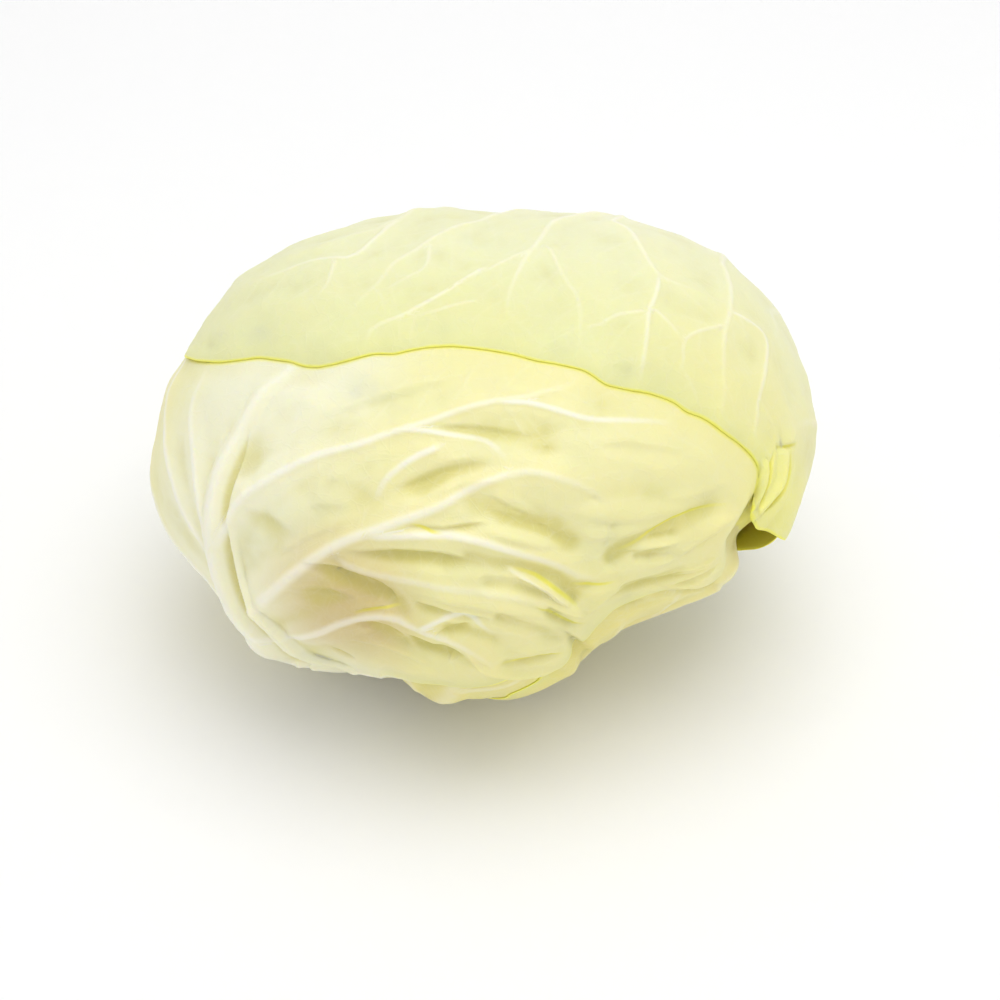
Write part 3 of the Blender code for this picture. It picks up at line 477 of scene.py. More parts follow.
# Then the hollows and drapes low on the front:
FOLDS += [
    Fold(seen((334, 550), (365, 553), (400, 554), (435, 556), (470, 563), (508, 575)), -0.0023, 0.0058,
        lean=0.4),
    Fold(seen((300, 558), (330, 566), (352, 574), (374, 581), (390, 592), (398, 606), (401, 618)),
        -0.0032, 0.0085, lean=0.16),
    Fold(seen((286, 588), (320, 592), (362, 601)), -0.0016, 0.0065),
    Fold(seen((352, 611), (375, 607), (404, 606)), -0.0008, 0.0022, shade_line=True),
    Fold(seen((352, 620), (380, 622), (396, 629), (408, 641)), -0.0024, 0.0050, lean=0.3),
    Fold(seen((400, 630), (424, 643), (445, 650), (462, 654), (469, 664)), -0.0028, 0.0060, lean=0.22),
    Fold(seen((430, 636), (452, 629), (478, 621)), -0.0020, 0.0044, lean=0.3),
    Fold(seen((478, 622), (490, 634), (502, 648)), -0.0009, 0.0034),
    Fold(seen((328, 645), (342, 652), (358, 660)), -0.0014, 0.0030),
    Fold(seen((340, 638), (372, 641), (402, 650), (444, 670)), 0.0011, 0.0044),
    Fold(seen((395, 586), (440, 597), (480, 604), (520, 611), (556, 620)), 0.0011, 0.0040),
    Fold(seen((405, 600), (440, 611), (470, 617), (500, 619)), -0.0016, 0.0046, lean=0.35),
    Fold(seen((490, 585), (515, 588), (540, 592), (560, 600)), -0.0012, 0.0034),
    Fold(seen((582, 610), (566, 597), (552, 586), (538, 577), (522, 571), (506, 569)), -0.0015, 0.0040,
        0.25, True),
    Fold(seen((509, 574), (535, 583), (553, 593), (568, 605), (584, 618)), 0.0016, 0.0032),
    Fold(seen((572, 586), (595, 585), (617, 580)), -0.0011, 0.0028, 0.4, True),
    Fold(seen((530, 605), (548, 612), (562, 620), (575, 626), (590, 623)), -0.0015, 0.0034, 0.3, True),
    Fold(seen((543, 602), (562, 610), (588, 618)), 0.0014, 0.0034),
    Fold(seen((500, 615), (530, 626), (560, 634)), -0.0012, 0.0040),
    Fold(seen((462, 648), (470, 658), (480, 667), (497, 673), (520, 676), (550, 671), (572, 662)),
        0.0024, 0.0040),
    Fold(seen((498, 665), (522, 661), (545, 657), (568, 653)), -0.0017, 0.0040, 0.25, True),
    Fold(seen((505, 652), (535, 650), (568, 644)), 0.0011, 0.0036),
    Fold(seen((550, 624), (566, 634), (578, 645), (592, 657)), -0.0026, 0.0044),
]

# And the drapes at the lower right:
FOLDS += [
    Fold(seen((612, 556), (635, 545), (652, 532), (670, 520), (690, 512), (710, 506), (734, 504)),
        -0.0015, 0.0048, 0.22, True),
    Fold(seen((636, 541), (662, 535), (690, 528)), -0.0014, 0.0040, lean=0.4),
    Fold(seen((618, 553), (655, 545), (694, 540)), 0.0013, 0.0034),
    Fold(seen((634, 558), (656, 555), (682, 551)), -0.0013, 0.0036, lean=0.4),
    Fold(seen((622, 577), (652, 566), (684, 548), (710, 530), (740, 512)), 0.0020, 0.0060),
    Fold(seen((588, 617), (600, 601), (614, 590), (632, 580)), 0.0013, 0.0034),
    Fold(seen((602, 603), (622, 591), (645, 583), (672, 577), (698, 568), (720, 556)), -0.0018, 0.0046,
        lean=0.3),
    Fold(seen((674, 577), (692, 571), (706, 565), (720, 556)), 0.0015, 0.0027),
    Fold(seen((668, 586), (692, 579), (710, 571), (724, 561)), -0.0013, 0.0030, lean=0.4),
    Fold(seen((652, 591), (680, 587), (706, 582)), 0.0011, 0.0030),
    Fold(seen((612, 615), (636, 606), (664, 602)), -0.0008, 0.0022),
]
VALLEYS = [fold for fold in FOLDS if fold.heights[0] < 0]
# Sharp creases carry a yellow line of painted shade
CREASES = [fold for fold in VALLEYS if fold.shade_line]
print("folds:", len(FOLDS), "of which valleys:", len(VALLEYS), "and sharp yellow creases:", len(CREASES))

# %% The folded form, and what lies under it
UNDER_SPARE = 0.0006  # more room between the two outer leaves and all that is under them
VALLEY_FOLLOWING = 1.6  # how much wider a valley is in the leaves under it


def form(d, places, under=False):
    """Distance from the head's centre to its folded outside, drawn in round the stem."""
    from_stem = np.arccos(np.clip(d @ STEM, -1, 1))
    folds = blended(VALLEYS, places, VALLEY_FOLLOWING)[0] if under else blended(FOLDS, places)[0]
    dimple = STEM_DIMPLE * np.exp(-((from_stem / DIMPLE_REACH) ** 2))
    return head_radius(d) - dimple + folds - (UNDER_SPARE if under else 0)


# The hollow under the crown leaf's loose corner: its middle and reach on the layout, and its depth
ROOM_AT = (795, 556)
ROOM_REACH = 75.0
ROOM_DEPTH = 0.0130


def corner_room(places):
    """How far all that is under the crown leaf's loose corner is drawn in, which leaves a dark hollow."""
    sight = places - EYE
    seen_at = EYE + sight * (SIGHT_DISTANCE / (sight @ AHEAD))[:, None]
    x = PLANE_CENTRE[0] + POINTS_PER_METRE * (seen_at @ ACROSS)
    y = PLANE_CENTRE[1] - POINTS_PER_METRE * (seen_at @ UPWARD)
    return ROOM_DEPTH * hump(np.hypot(x - ROOM_AT[0], y - ROOM_AT[1]) / ROOM_REACH)


WAVES = 24


def rumple(places, wavelength, seed):
    """A soft random unevenness, mostly between -1 and 1, that is the same on every run."""
    rng = np.random.default_rng(seed)
    waves = unit(rng.normal(size=(WAVES, 3))) * rng.uniform(0.6, 1.6, (WAVES, 1)) * 2 * pi / wavelength
    return np.cos(places @ waves.T + rng.uniform(0, 2 * pi, WAVES)).sum(1) / np.sqrt(WAVES)


# %% [markdown]
# ## One leaf
# A leaf grows from its base, and its blade spreads out from a middle to a margin that is never quite
# even. The margin is given as places round the leaf. A flat grid is then spread over the leaf: its square
# of cells is pressed into a disc, and the disc is stretched until its rim lies on the margin. The last
# rings of cells lie close together, so that the margin can be rounded like a real leaf's edge and still
# catch the light. A sheet that is cut to the margin afterwards would be quicker, but the cut leaves
# ragged cells just where the eye looks.

# %% The leaf's chart
RIM_INSETS = (0.0016, 0.0008, 0.0003, 0.0)  # how far in from the margin the last rings of cells lie
THINNING = 0.012  # how far in from its margin a blade reaches full thickness
OVERLAP_FULL = 0.0015  # how far beyond a margin the outer leaves still ride over it at full height
OVERLAP_FADE = 0.014  # how far beyond a margin they have sunk to what is below
BEARING_STEP = 0.25  # degrees between the bearings at which a margin is kept
WAVE_COUNTS = (7, 11, 17, 26)  # how often the waves of a wavy margin go round
MARGIN_BLUR = 3  # how many bearings the margin is smoothed over
EVEN_BLUR = 40  # and over how many for the rings further in


class Leaf:
    """A sheet with a margin round its middle, ribs that stand out of it, and lifts that raise it."""

    def __init__(self, name, middle, margin, ribs, lifts=(), wave=0.0, crowding=1.0):
        self.name = name
        self.middle = unit(middle)
        self.east = unit(np.cross((0.0, 0.0, 1.0), self.middle))
        self.north = np.cross(self.middle, self.east)
        self.ribs, self.lifts, self.crowding = ribs, lifts, crowding
        bearing, reach = self.chart(np.array(margin))
        order = np.argsort(bearing)
        self.bearings = np.radians(np.arange(-180, 180, BEARING_STEP))
        self.reaches = np.interp(self.bearings, bearing[order], reach[order], period=2 * pi)
        waves = sum(np.sin(n * self.bearings + 1.7 * n) for n in WAVE_COUNTS)
        self.reaches += wave * waves / len(WAVE_COUNTS)
        self.reaches = smoothed_round(self.reaches, 3 * MARGIN_BLUR, MARGIN_BLUR)
        self.even_reaches = smoothed_round(self.reaches, 3 * EVEN_BLUR, EVEN_BLUR)

    def chart(self, d):
        """Bearing and angular distance of directions d, as seen from the middle of the leaf."""
        return np.arctan2(d @ self.east, d @ self.north), np.arccos(np.clip(d @ self.middle, -1, 1))

    def spread_out(self, u, v, rings):
        """Directions of grid places (u, v) between -1 and 1 once the grid lies over the leaf."""
        share = np.maximum(np.abs(u), np.abs(v))
        bearing = np.arctan2(u * np.sqrt(1 - v * v / 2), v * np.sqrt(1 - u * u / 2))
        even = np.interp(bearing, self.bearings, self.even_reaches, period=2 * pi)
        true = np.interp(bearing, self.bearings, self.reaches, period=2 * pi)
        last = len(RIM_INSETS) - 1
        inside = share * rings / (rings - last)
        inner = inside**self.crowding * (even + (true - even) * inside**5 - RIM_INSETS[0] / MEAN_RADIUS)
        rim = true - np.interp(share * rings, rings - last + np.arange(last + 1), RIM_INSETS) / MEAN_RADIUS
        reach = np.where(share * rings > rings - last + 0.01, rim, inner)
        flat = np.sin(bearing)[:, None] * self.east + np.cos(bearing)[:, None] * self.north
        return np.cos(reach)[:, None] * self.middle + np.sin(reach)[:, None] * flat

    def within(self, d):
        """How far inside the margin directions d lie, in metres on the head."""
        bearing, reach = self.chart(d)
        return MEAN_RADIUS * (np.interp(bearing, self.bearings, self.reaches, period=2 * pi) - reach)

    def cover(self, d):
        """One over the leaf, fading to nothing a little way beyond its margin."""
        t = np.clip((self.within(d) + OVERLAP_FADE) / (OVERLAP_FADE - OVERLAP_FULL), 0, 1)
        return t * t * (3 - 2 * t)


# %% [markdown]
# ## The crown leaf
# The outermost leaf. Its midrib comes up the back, its blade lies over the whole top and the right side,
# and its free margin crosses the front. The ribs fan out from the midrib and fork on their way to the
# margin. At both ends the margin runs on level to the far side before it turns down to the stem, so that
# it meets the outline of the head squarely. Margin and ribs could be drawn as curves in the viewport. As
# lists of places they are as easy to follow with a finger on a picture of the head, and one place can be
# corrected without touching the rest.

# %% Lay out the crown leaf
CROWN_MARGIN = seen(
    (180, 355), (184, 357), (193, 360), (208, 361), (217, 361), (233, 359), (256, 356), (268, 358),
    (286, 360), (300, 365), (314, 366), (330, 363), (346, 359), (371, 352), (394, 352), (410, 348),
    (428, 345), (451, 344), (474, 346), (490, 348), (516, 353), (537, 359), (562, 363), (587, 369),
    (596, 375), (608, 384), (631, 389), (651, 392), (667, 397), (679, 402), (690, 412), (702, 415),
    (713, 421), (727, 432), (745, 445), (757, 457), (764, 470), (763, 484), (759, 498), (752, 511),
    (751, 519), (758, 524), (760, 531), (771, 532), (775, 538), (783, 537),
) + behind((778, 543), (770, 548), (762, 551), (750, 552), (743, 553)) + grown(
    (84, 56), (74, 54), (60, 50), (44, 50), (30, 46), (20, 42), (LEAF_BASE, 36), (LEAF_BASE, 18),
    (LEAF_BASE, 0), (LEAF_BASE, -18), (LEAF_BASE, -36), (20, -42), (30, -52), (42, -74), (56, -92),
    (68, -104),
) + behind((192, 357), (187, 354), (184, 353))
CROWN_RIBS = [
    Rib(grown((LEAF_BASE, 0), (40, 0), (80, -3), (120, -4), (150, 0)), 0.0060, 0.0130, 0.0018, 0.0060),
    Rib(grown((150, 0), (162, -10)) + seen((568, 205), (550, 224), (541, 240), (525, 259), (518, 273),
        (508, 293), (506, 319)), 0.0016, 0.0036, 0.0003, 0.0022),
    Rib(seen((535, 250), (507, 261), (488, 270), (450, 290)), 0.0009, 0.0022, pale=0.6),
    Rib(seen((546, 246), (562, 275), (571, 289), (579, 300), (580, 323), (579, 351)), 0.0010, 0.0024,
        0.0003, pale=0.4),
    Rib(grown((150, 0), (160, 12)) + seen((612, 217), (626, 229), (638, 247), (647, 261), (656, 277),
        (677, 285), (700, 293)), 0.0016, 0.0036, 0.0003, 0.0022),
    Rib(seen((658, 279), (654, 300), (647, 309), (646, 337), (643, 364), (642, 385)), 0.0009, 0.0024,
        0.0003),
    Rib(seen((645, 312), (612, 315), (603, 325), (580, 328)), 0.0008, 0.0022, pale=0.6),
    Rib(grown((124, -3), (134, 14), (142, 36)) + seen((722, 261), (725, 273), (729, 291), (727, 319),
        (722, 337), (722, 364), (722, 420)), 0.0020, 0.0040, 0.0004, 0.0024),
    Rib(seen((725, 325), (695, 332), (681, 341), (685, 355), (679, 374)), 0.0008, 0.0022, pale=0.7),
    Rib(seen((651, 309), (670, 325), (681, 339)), 0.0007, 0.0022, 0.0005, pale=0.6),
    Rib(seen((728, 312), (748, 323), (766, 337), (764, 369), (759, 392), (756, 420), (755, 443)),
        0.0010, 0.0026, 0.0004),
    Rib(grown((104, -2), (116, 20), (128, 44)) + seen((771, 307), (778, 330), (770, 345)), 0.0020,
        0.0040),
    Rib(grown((86, -2), (100, 32), (112, 60)) + seen((796, 420), (791, 440)), 0.0020, 0.0040, 0.0005),
    Rib(grown((134, -4), (146, -28), (156, -60)) + seen((490, 220), (451, 231), (435, 240), (405, 257),
        (389, 270), (378, 284), (360, 302), (348, 319)), 0.0018, 0.0038, 0.0003, 0.0024),
    Rib(seen((430, 246), (428, 270), (405, 279), (383, 291)), 0.0008, 0.0022, pale=0.6),
    Rib(grown((118, -4), (132, -40), (140, -80)) + seen((401, 220), (378, 234), (353, 236), (325, 246)),
        0.0022, 0.0048, 0.0010),
    Rib(seen((401, 222), (378, 240), (353, 259), (337, 259), (304, 263), (277, 275), (254, 284)),
        0.0010, 0.0030, 0.0004),
    Rib(seen((337, 262), (330, 282), (318, 298)), 0.0008, 0.0022, pale=0.6),
    Rib(seen((486, 268), (451, 291), (419, 307), (405, 316), (371, 328), (362, 346)), 0.0010, 0.0026,
        0.0003),
    Rib(seen((478, 302), (440, 310), (405, 319)), 0.0007, 0.0022, pale=0.5),
    Rib(grown((96, -4), (106, -40), (108, -80), (104, -112)), 0.0022, 0.0042, 0.0005),
    Rib(grown((74, -3), (84, -36), (88, -74), (84, -108)), 0.0024, 0.0046, 0.0005),
    Rib(grown((52, -2), (62, -34), (66, -66), (64, -94)), 0.0026, 0.0048, 0.0006),
    Rib(grown((62, -2), (76, 26), (86, 50)), 0.0026, 0.0048, 0.0006),
    Rib(grown((40, 0), (52, 24), (62, 44)), 0.0024, 0.0046, 0.0006),
]

# The crown leaf's front right corner is rolled back on itself and its tip hangs free
# These creases carry the yellow painted shade of sharp folds
CORNER_CREASES = [
    Fold(seen((762, 457), (764, 474), (761, 492), (756, 505), (751, 516)), -0.0006, 0.0012),
    Fold(seen((777, 449), (772, 460), (770, 484), (764, 502), (754, 516)), -0.0014, 0.0014),
    Fold(seen((789, 446), (791, 461), (789, 482), (778, 502), (760, 517)), -0.0018, 0.0016),
    Fold(seen((774, 446), (783, 448), (797, 443)), -0.0012, 0.0017),
]
CROWN_LIFTS = CORNER_CREASES + [
    Ridge(seen((782, 452), (781, 466), (779, 482), (771, 498), (757, 516)), 0.0026, 0.0030, 0.0018,
        0.0024),
    Ridge(seen((767, 462), (767, 478), (763, 494), (756, 509)), 0.0014, 0.0017, 0.0012),
    Ridge(seen((800, 490), (790, 515), (777, 538)), 0.0006, 0.0100, 0.0040, 0.0120),
    Ridge(seen((176, 350), (186, 353), (204, 357)), 0.0014, 0.0060, 0.0004),
]

# %% [markdown]
# ## The front leaf
# The leaf under it covers the front and the left side. Its midrib is the thick pale stalk at the lower
# left, and long side ribs run from it right across the front. It is laid out like the crown leaf, with
# one thing more: on the right of the midrib its blade bulges. A fold would raise or sink both sides of a
# line, so this is a step.

# %% Lay out the front leaf
FRONT_MARGIN = seen(
    (741, 538), (737, 558), (725, 577), (711, 589), (700, 591), (677, 590), (652, 597), (617, 612),
    (599, 630), (589, 643), (577, 650), (569, 666), (562, 673), (534, 677), (511, 682), (493, 689),
    (470, 691),
) + grown(
    (49, 146), (45, 152), (43, 158), (40, 162), (32, 160), (22, 154), (LEAF_BASE, 150),
    (LEAF_BASE, 168), (LEAF_BASE, -174), (LEAF_BASE, -156), (LEAF_BASE, -140), (22, -132), (38, -120),
    (55, -110), (72, -102), (88, -98), (96, -102), (104, -108), (112, -118), (120, -130), (128, -146),
    (134, -162),
) + seen(
    (456, 305), (540, 315), (620, 335), (690, 362), (740, 395), (783, 435), (798, 470), (782, 500),
    (765, 515),
)
FRONT_RIBS = [
    Rib(grown((LEAF_BASE, -172), (34, -172)) + seen((290, 652), (262, 628), (245, 615), (231, 590),
        (222, 562), (217, 535), (216, 511), (219, 486), (227, 461), (239, 438), (253, 410), (268, 385),
        (286, 368), (300, 345)), 0.0062, 0.0125, 0.0012, 0.0042),
    Rib(seen((220, 548), (224, 540), (232, 516), (249, 493), (272, 479), (300, 463), (327, 452),
        (360, 445), (383, 436), (405, 429), (428, 422), (451, 413), (474, 406), (493, 401), (509, 399),
        (532, 397), (546, 390), (566, 388), (582, 374)), 0.0026, 0.0046, 0.0006, 0.0028),
    Rib(seen((390, 432), (405, 429), (428, 431), (463, 436), (490, 440), (509, 463)), 0.0012, 0.0028),
    Rib(seen((495, 401), (509, 402), (532, 403), (566, 413), (589, 420), (631, 420), (677, 422)),
        0.0013, 0.0030),
    Rib(seen((440, 446), (430, 451), (417, 456), (396, 470), (383, 484), (376, 502)), 0.0018, 0.0034,
        0.0002),
    Rib(seen((258, 606), (266, 599), (282, 585), (305, 565), (328, 549), (351, 537), (374, 530),
        (397, 521), (420, 514), (443, 505), (466, 491), (488, 480), (511, 473), (534, 471), (550, 475),
        (580, 485), (599, 496), (612, 510)), 0.0036, 0.0060, 0.0006, 0.0030),
    Rib(seen((366, 533), (378, 535), (420, 534), (454, 534), (488, 542), (511, 551), (550, 562),
        (573, 574), (601, 581)), 0.0020, 0.0038, 0.0008),
    Rib(seen((335, 557), (350, 565), (374, 573), (408, 580), (446, 587), (486, 592), (520, 598),
        (550, 605)), 0.0014, 0.0036, 0.0006, pale=0.5),
    Rib(seen((508, 569), (530, 581), (548, 593), (566, 604)), 0.0010, 0.0022, 0.0006, pale=0.5),
    Rib(seen((292, 634), (319, 631), (339, 622), (362, 615), (387, 613), (404, 620), (420, 629),
        (443, 638), (466, 647), (484, 657), (495, 666)), 0.0028, 0.0048, 0.0008, 0.0030),
    Rib(seen((418, 629), (438, 620), (461, 613), (472, 615), (495, 638)), 0.0013, 0.0030),
    Rib(seen((212, 552), (201, 534), (187, 511), (178, 488), (169, 449), (167, 420)) + grown((94, -116),
        (104, -112)), 0.0018, 0.0036, 0.0006),
    Rib(seen((215, 545), (208, 523), (201, 495), (197, 461), (193, 433), (192, 410), (197, 387),
        (203, 364)), 0.0018, 0.0036, 0.0005),
    Rib(grown((50, -172), (60, -150), (70, -130), (76, -110)), 0.0024, 0.0044, 0.0006),
    Rib(grown((32, -171), (44, -148), (55, -128), (60, -114)), 0.0024, 0.0044, 0.0006),
    Rib(grown((36, 178), (42, 162), (46, 152)), 0.0020, 0.0040, 0.0008),
]

# The blade on the right of the front leaf's midrib bulges over it
FRONT_LIFTS = [
    Step(grown((34, 172), (42, 175)) + seen((312, 655), (302, 645), (291, 634), (277, 622), (266, 613),
        (257, 606), (251, 592), (243, 572), (238, 552), (236, 535), (240, 515)), 0.0042, 0.0400),
]

# %% [markdown]
# ## Three leaves below
# They close the underside. A strip of the right leaf and the edge of the lower leaf show under the front
# leaf. Most of them is hidden, and they could be one plain skin, but the head is seen from below too, and
# there the overlaps of single leaves round the stump are what makes it a cabbage. So each is a whole
# leaf, made as the others are, with straighter ribs.

# %% Lay out the leaves below
RIGHT_MARGIN = grown(
    (LEAF_BASE, 48), (LEAF_BASE, 64), (LEAF_BASE, 84), (LEAF_BASE, 104), (LEAF_BASE, 120), (24, 124),
    (42, 126), (56, 122), (72, 122), (86, 120), (100, 112), (112, 98), (118, 80), (114, 62), (104, 46),
    (90, 36), (74, 30), (56, 28), (40, 32), (24, 40),
)
RIGHT_RIBS = [
    Rib(grown((LEAF_BASE, 84), (40, 85), (70, 84), (104, 78)), 0.0052, 0.0120, 0.0010, 0.0050),
    Rib(grown((34, 85), (48, 100), (60, 112)), 0.0022, 0.0042, 0.0006),
    Rib(grown((50, 85), (64, 98), (76, 110)), 0.0020, 0.0040, 0.0006),
    Rib(grown((68, 84), (80, 96), (90, 106)), 0.0016, 0.0036, 0.0004),
    Rib(grown((28, 85), (42, 66), (52, 48)), 0.0022, 0.0042, 0.0006),
    Rib(grown((44, 85), (58, 68), (68, 50)), 0.0020, 0.0040, 0.0006),
    Rib(grown((62, 84), (76, 66), (84, 50)), 0.0016, 0.0036, 0.0004),
    Ridge(seen((716, 582), (700, 588), (676, 596), (650, 604), (624, 614)), 0.0014, 0.0024, 0.0004,
        pale=0.3),
    Ridge(seen((722, 570), (704, 578), (682, 585), (660, 592)), 0.0010, 0.0020, 0.0003, pale=0.2),
]
LEFT_MARGIN = grown(
    (LEAF_BASE, -126), (LEAF_BASE, -108), (LEAF_BASE, -88), (LEAF_BASE, -68), (LEAF_BASE, -50),
    (24, -42), (44, -34), (66, -34), (86, -42), (102, -56), (112, -76), (114, -98), (106, -118),
    (90, -132), (70, -142), (48, -146), (28, -140),
)
LEFT_RIBS = [
    Rib(grown((LEAF_BASE, -88), (40, -88), (70, -90), (104, -92)), 0.0052, 0.0120, 0.0010, 0.0050),
    Rib(grown((30, -88), (44, -104), (54, -122)), 0.0022, 0.0042, 0.0006),
    Rib(grown((46, -88), (60, -104), (72, -122)), 0.0020, 0.0040, 0.0006),
    Rib(grown((66, -90), (78, -104), (88, -120)), 0.0016, 0.0036, 0.0004),
    Rib(grown((34, -88), (46, -70), (56, -52)), 0.0022, 0.0042, 0.0006),
    Rib(grown((52, -88), (66, -72), (76, -56)), 0.0020, 0.0040, 0.0006),
    Rib(grown((72, -90), (84, -76), (94, -64)), 0.0016, 0.0036, 0.0004),
]
LOWER_MARGIN = grown(
    (LEAF_BASE, 104), (LEAF_BASE, 122), (LEAF_BASE, 142), (LEAF_BASE, 162), (LEAF_BASE, -178),
    (26, -172), (44, -168), (62, -170), (78, 178), (88, 160), (90, 140), (84, 122), (72, 108),
    (56, 100), (40, 98), (24, 98),
)
LOWER_RIBS = [
    Rib(grown((LEAF_BASE, 142), (40, 142), (62, 143), (82, 144)), 0.0050, 0.0110, 0.0010, 0.0050),
    Rib(grown((28, 142), (42, 124), (54, 112)), 0.0020, 0.0040, 0.0006),
    Rib(grown((46, 142), (60, 128), (70, 118)), 0.0018, 0.0036, 0.0006),
    Rib(grown((30, 142), (44, 160), (56, 172)), 0.0020, 0.0040, 0.0006),
    Rib(grown((48, 142), (62, 156), (74, 166)), 0.0018, 0.0036, 0.0006),
]

# %% The leaves from the outside in
LEAVES = [
    Leaf("crown_leaf", turned(172, 22), CROWN_MARGIN, CROWN_RIBS, CROWN_LIFTS, crowding=0.85),
    Leaf("front_leaf", turned(-28, 38), FRONT_MARGIN, FRONT_RIBS, FRONT_LIFTS),
    Leaf("right_leaf", grown((66, 78))[0], RIGHT_MARGIN, RIGHT_RIBS, wave=0.03),
    Leaf("left_leaf", grown((64, -90))[0], LEFT_MARGIN, LEFT_RIBS, wave=0.03),
    Leaf("lower_leaf", grown((52, 142))[0], LOWER_MARGIN, LOWER_RIBS, wave=0.03),
]
for leaf in LEAVES:
    print(leaf.name, "ribs:", len(leaf.ribs), "lifts:", len(leaf.lifts))

# %% [markdown]
# ## Veins that branch
# Between the ribs a cabbage leaf has a net of ever finer veins. Drawing them one by one would take days,
# and a texture alone looks printed on. So they are grown: every few millimetres a side vein leaves its
# parent at a steep angle, bends towards the parent's tip, wanders a little, and stops where it meets
# another vein or the margin. The same rule, run on the new veins with smaller numbers, gives the next and
# finer order.

# %% Grow side veins
VEIN_STEP = 0.002
VEIN_ANGLES = (42, 62)  # degrees at which side veins may leave their parent
VEIN_BEND = 0.035  # how much they turn towards the parent's tip at each step
VEIN_WANDER = 0.10
MARGIN_KEPT = 0.003  # they stop this far from the leaf's margin
MEETING = 1.2 * VEIN_STEP


def vein_starts(parents, apart, rng):
    """Where side veins leave both sides of the parents, their headings, and the numbers of the parents."""
    starts, headings, homes = [], [], []
    for home, parent in enumerate(parents):
        line = parent.line
        run = np.linalg.norm(np.diff(line, axis=0), axis=1).sum()
        count = int(run / apart)
        for number in range(2 * count):
            share = (number / 2 + 0.3 + 0.4 * rng.random()) / max(count, 1)
            at = min(int(share * (len(line) - 1)), len(line) - 2)
            ahead = unit(line[at + 1] - line[at])
            beside = unit(np.cross(line[at], ahead)) * (1 if number % 2 else -1)
            angle = radians(rng.uniform(*VEIN_ANGLES))
            starts.append(line[at])
            headings.append(cos(angle) * ahead + sin(angle) * beside)
            homes.append(home)
    return np.array(starts), np.array(headings), np.array(homes)


def side_veins(leaf, parents, apart, longest, height, half_width, pale, seed):
    """Side veins off both sides of the parent lines, as ridges."""
    rng = np.random.default_rng(seed)
    place, heading, homes = vein_starts(parents, apart, rng)
    side = np.sign((np.cross(place, heading) * np.array([parents[h].line[-1] for h in homes])).sum(1))
    going = np.ones(len(place), bool)
    paths = [[p] for p in place]
    others = np.vstack([parent.line for parent in parents])
    owner = np.concatenate([np.full(len(parent.line), home) for home, parent in enumerate(parents)])
    own = len(parents) + np.arange(len(place))
    lengths = longest * rng.uniform(0.55, 1.0, len(place))
    for step in range(int(longest / VEIN_STEP)):
        turn = VEIN_BEND * side + rng.normal(0, VEIN_WANDER, len(place))
        up = unit(place)
        heading = unit(heading + turn[:, None] * np.cross(up, heading))
        place = place + VEIN_STEP * heading
        d = unit(place)
        place = d * head_radius(d)[:, None]
        heading = unit(heading - (heading * d).sum(1)[:, None] * d)
        going &= (leaf.within(d) > MARGIN_KEPT) & (step * VEIN_STEP < lengths)
        for number in np.flatnonzero(going):
            paths[number].append(place[number])
        gaps = np.linalg.norm(place[:, None] - others, axis=2)
        gaps[(owner == homes[:, None]) | (owner == own[:, None])] = 1.0
        met = going & (gaps.min(1) < MEETING) & (step > 1)
        for number in np.flatnonzero(met):
            paths[number].append(others[gaps[number].argmin()])
        going &= ~met
        others = np.vstack([others, place[going]])
        owner = np.concatenate([owner, own[going]])
    return [
        Ridge(unit(path), height, half_width, 0.4 * height, 0.7 * half_width, pale=pale)
        for path in paths
        if len(path) > 3
    ]


# %% Grow the veins of each leaf
# Each order's distance apart, greatest length, height, half width and paleness
FIRST_ORDER = (0.013, 0.028, 0.00016, 0.0014, 0.15)
SECOND_ORDER = (0.008, 0.012, 0.00005, 0.0010, 0.05)


def add_veins(leaf, seed):
    """Two finer orders of veins on a leaf, the second off the first and off the ribs."""
    first = side_veins(leaf, leaf.ribs, *FIRST_ORDER, seed)
    second = side_veins(leaf, leaf.ribs + first, *SECOND_ORDER, seed + 1)
    leaf.veins = first + second
    print(leaf.name, "veins:", len(first), "+", len(second))


for number, leaf in enumerate(LEAVES):
    add_veins(leaf, 10 + 2 * number)

# %% [markdown]
# ## From a leaf's chart to its surface
# Every leaf lies one layer deeper than the leaf over it. It is raised by its own ribs and veins, and
# also, more gently, by those of the leaves under it. Under another leaf its own ribs are pressed nearly
# flat. The blade thins out towards its margin and lies closer there, because a thick free edge looks like
# cut card. Shrinkwrap modifiers could lay each leaf on the next, but they pull a sheet thin over every
# rib. Worked out place by place, each leaf keeps its thickness and never cuts through its neighbour.

# %% The two sides of a leaf
BLADE_THICKNESS = 0.0012
MARGIN_THICKNESS = 0.00038
LEAF_GAP = 0.0006
MARGIN_GAP = 0.00004
LAYER = BLADE_THICKNESS + LEAF_GAP
PRESSED = 0.8  # share of a rib's height that it loses under another leaf
FOLLOWING = 1.5  # how much wider a rib is in the leaf on top of it
RIM_ROUNDING = 0.00012
UNEVEN_FROM = 0.006  # how far in from its margin a blade is fully uneven
UNEVENNESS = ((0.00030, 0.024, 5), (0.00007, 0.007, 15))  # height, wavelength and the crown leaf's seed


def above_floor(d, height):
    """The distance in direction d at which a place is `height` above the floor; far away if d points up."""
    down = np.maximum(-d[:, 2], 1e-6)
    return (REST_HEIGHT - height) / down


def pressing(index, d):
    """What is left of a leaf's relief under the leaves over it."""
    over = np.max([leaf.cover(d) for leaf in LEAVES[:index]] + [np.zeros(len(d))], axis=0)
    return 1 - PRESSED * over


BESIDE_MIDRIB = 0.055  # how far from the midrib the blade is still whitish


def beside_midrib(leaf, places):
    """One on the leaf's midrib, falling evenly to nothing away from it."""
    share = np.zeros(len(places))
    found, distance, _, _ = leaf.ribs[0].close_to(places, BESIDE_MIDRIB)
    share[found] = 1 - distance / BESIDE_MIDRIB
    return share


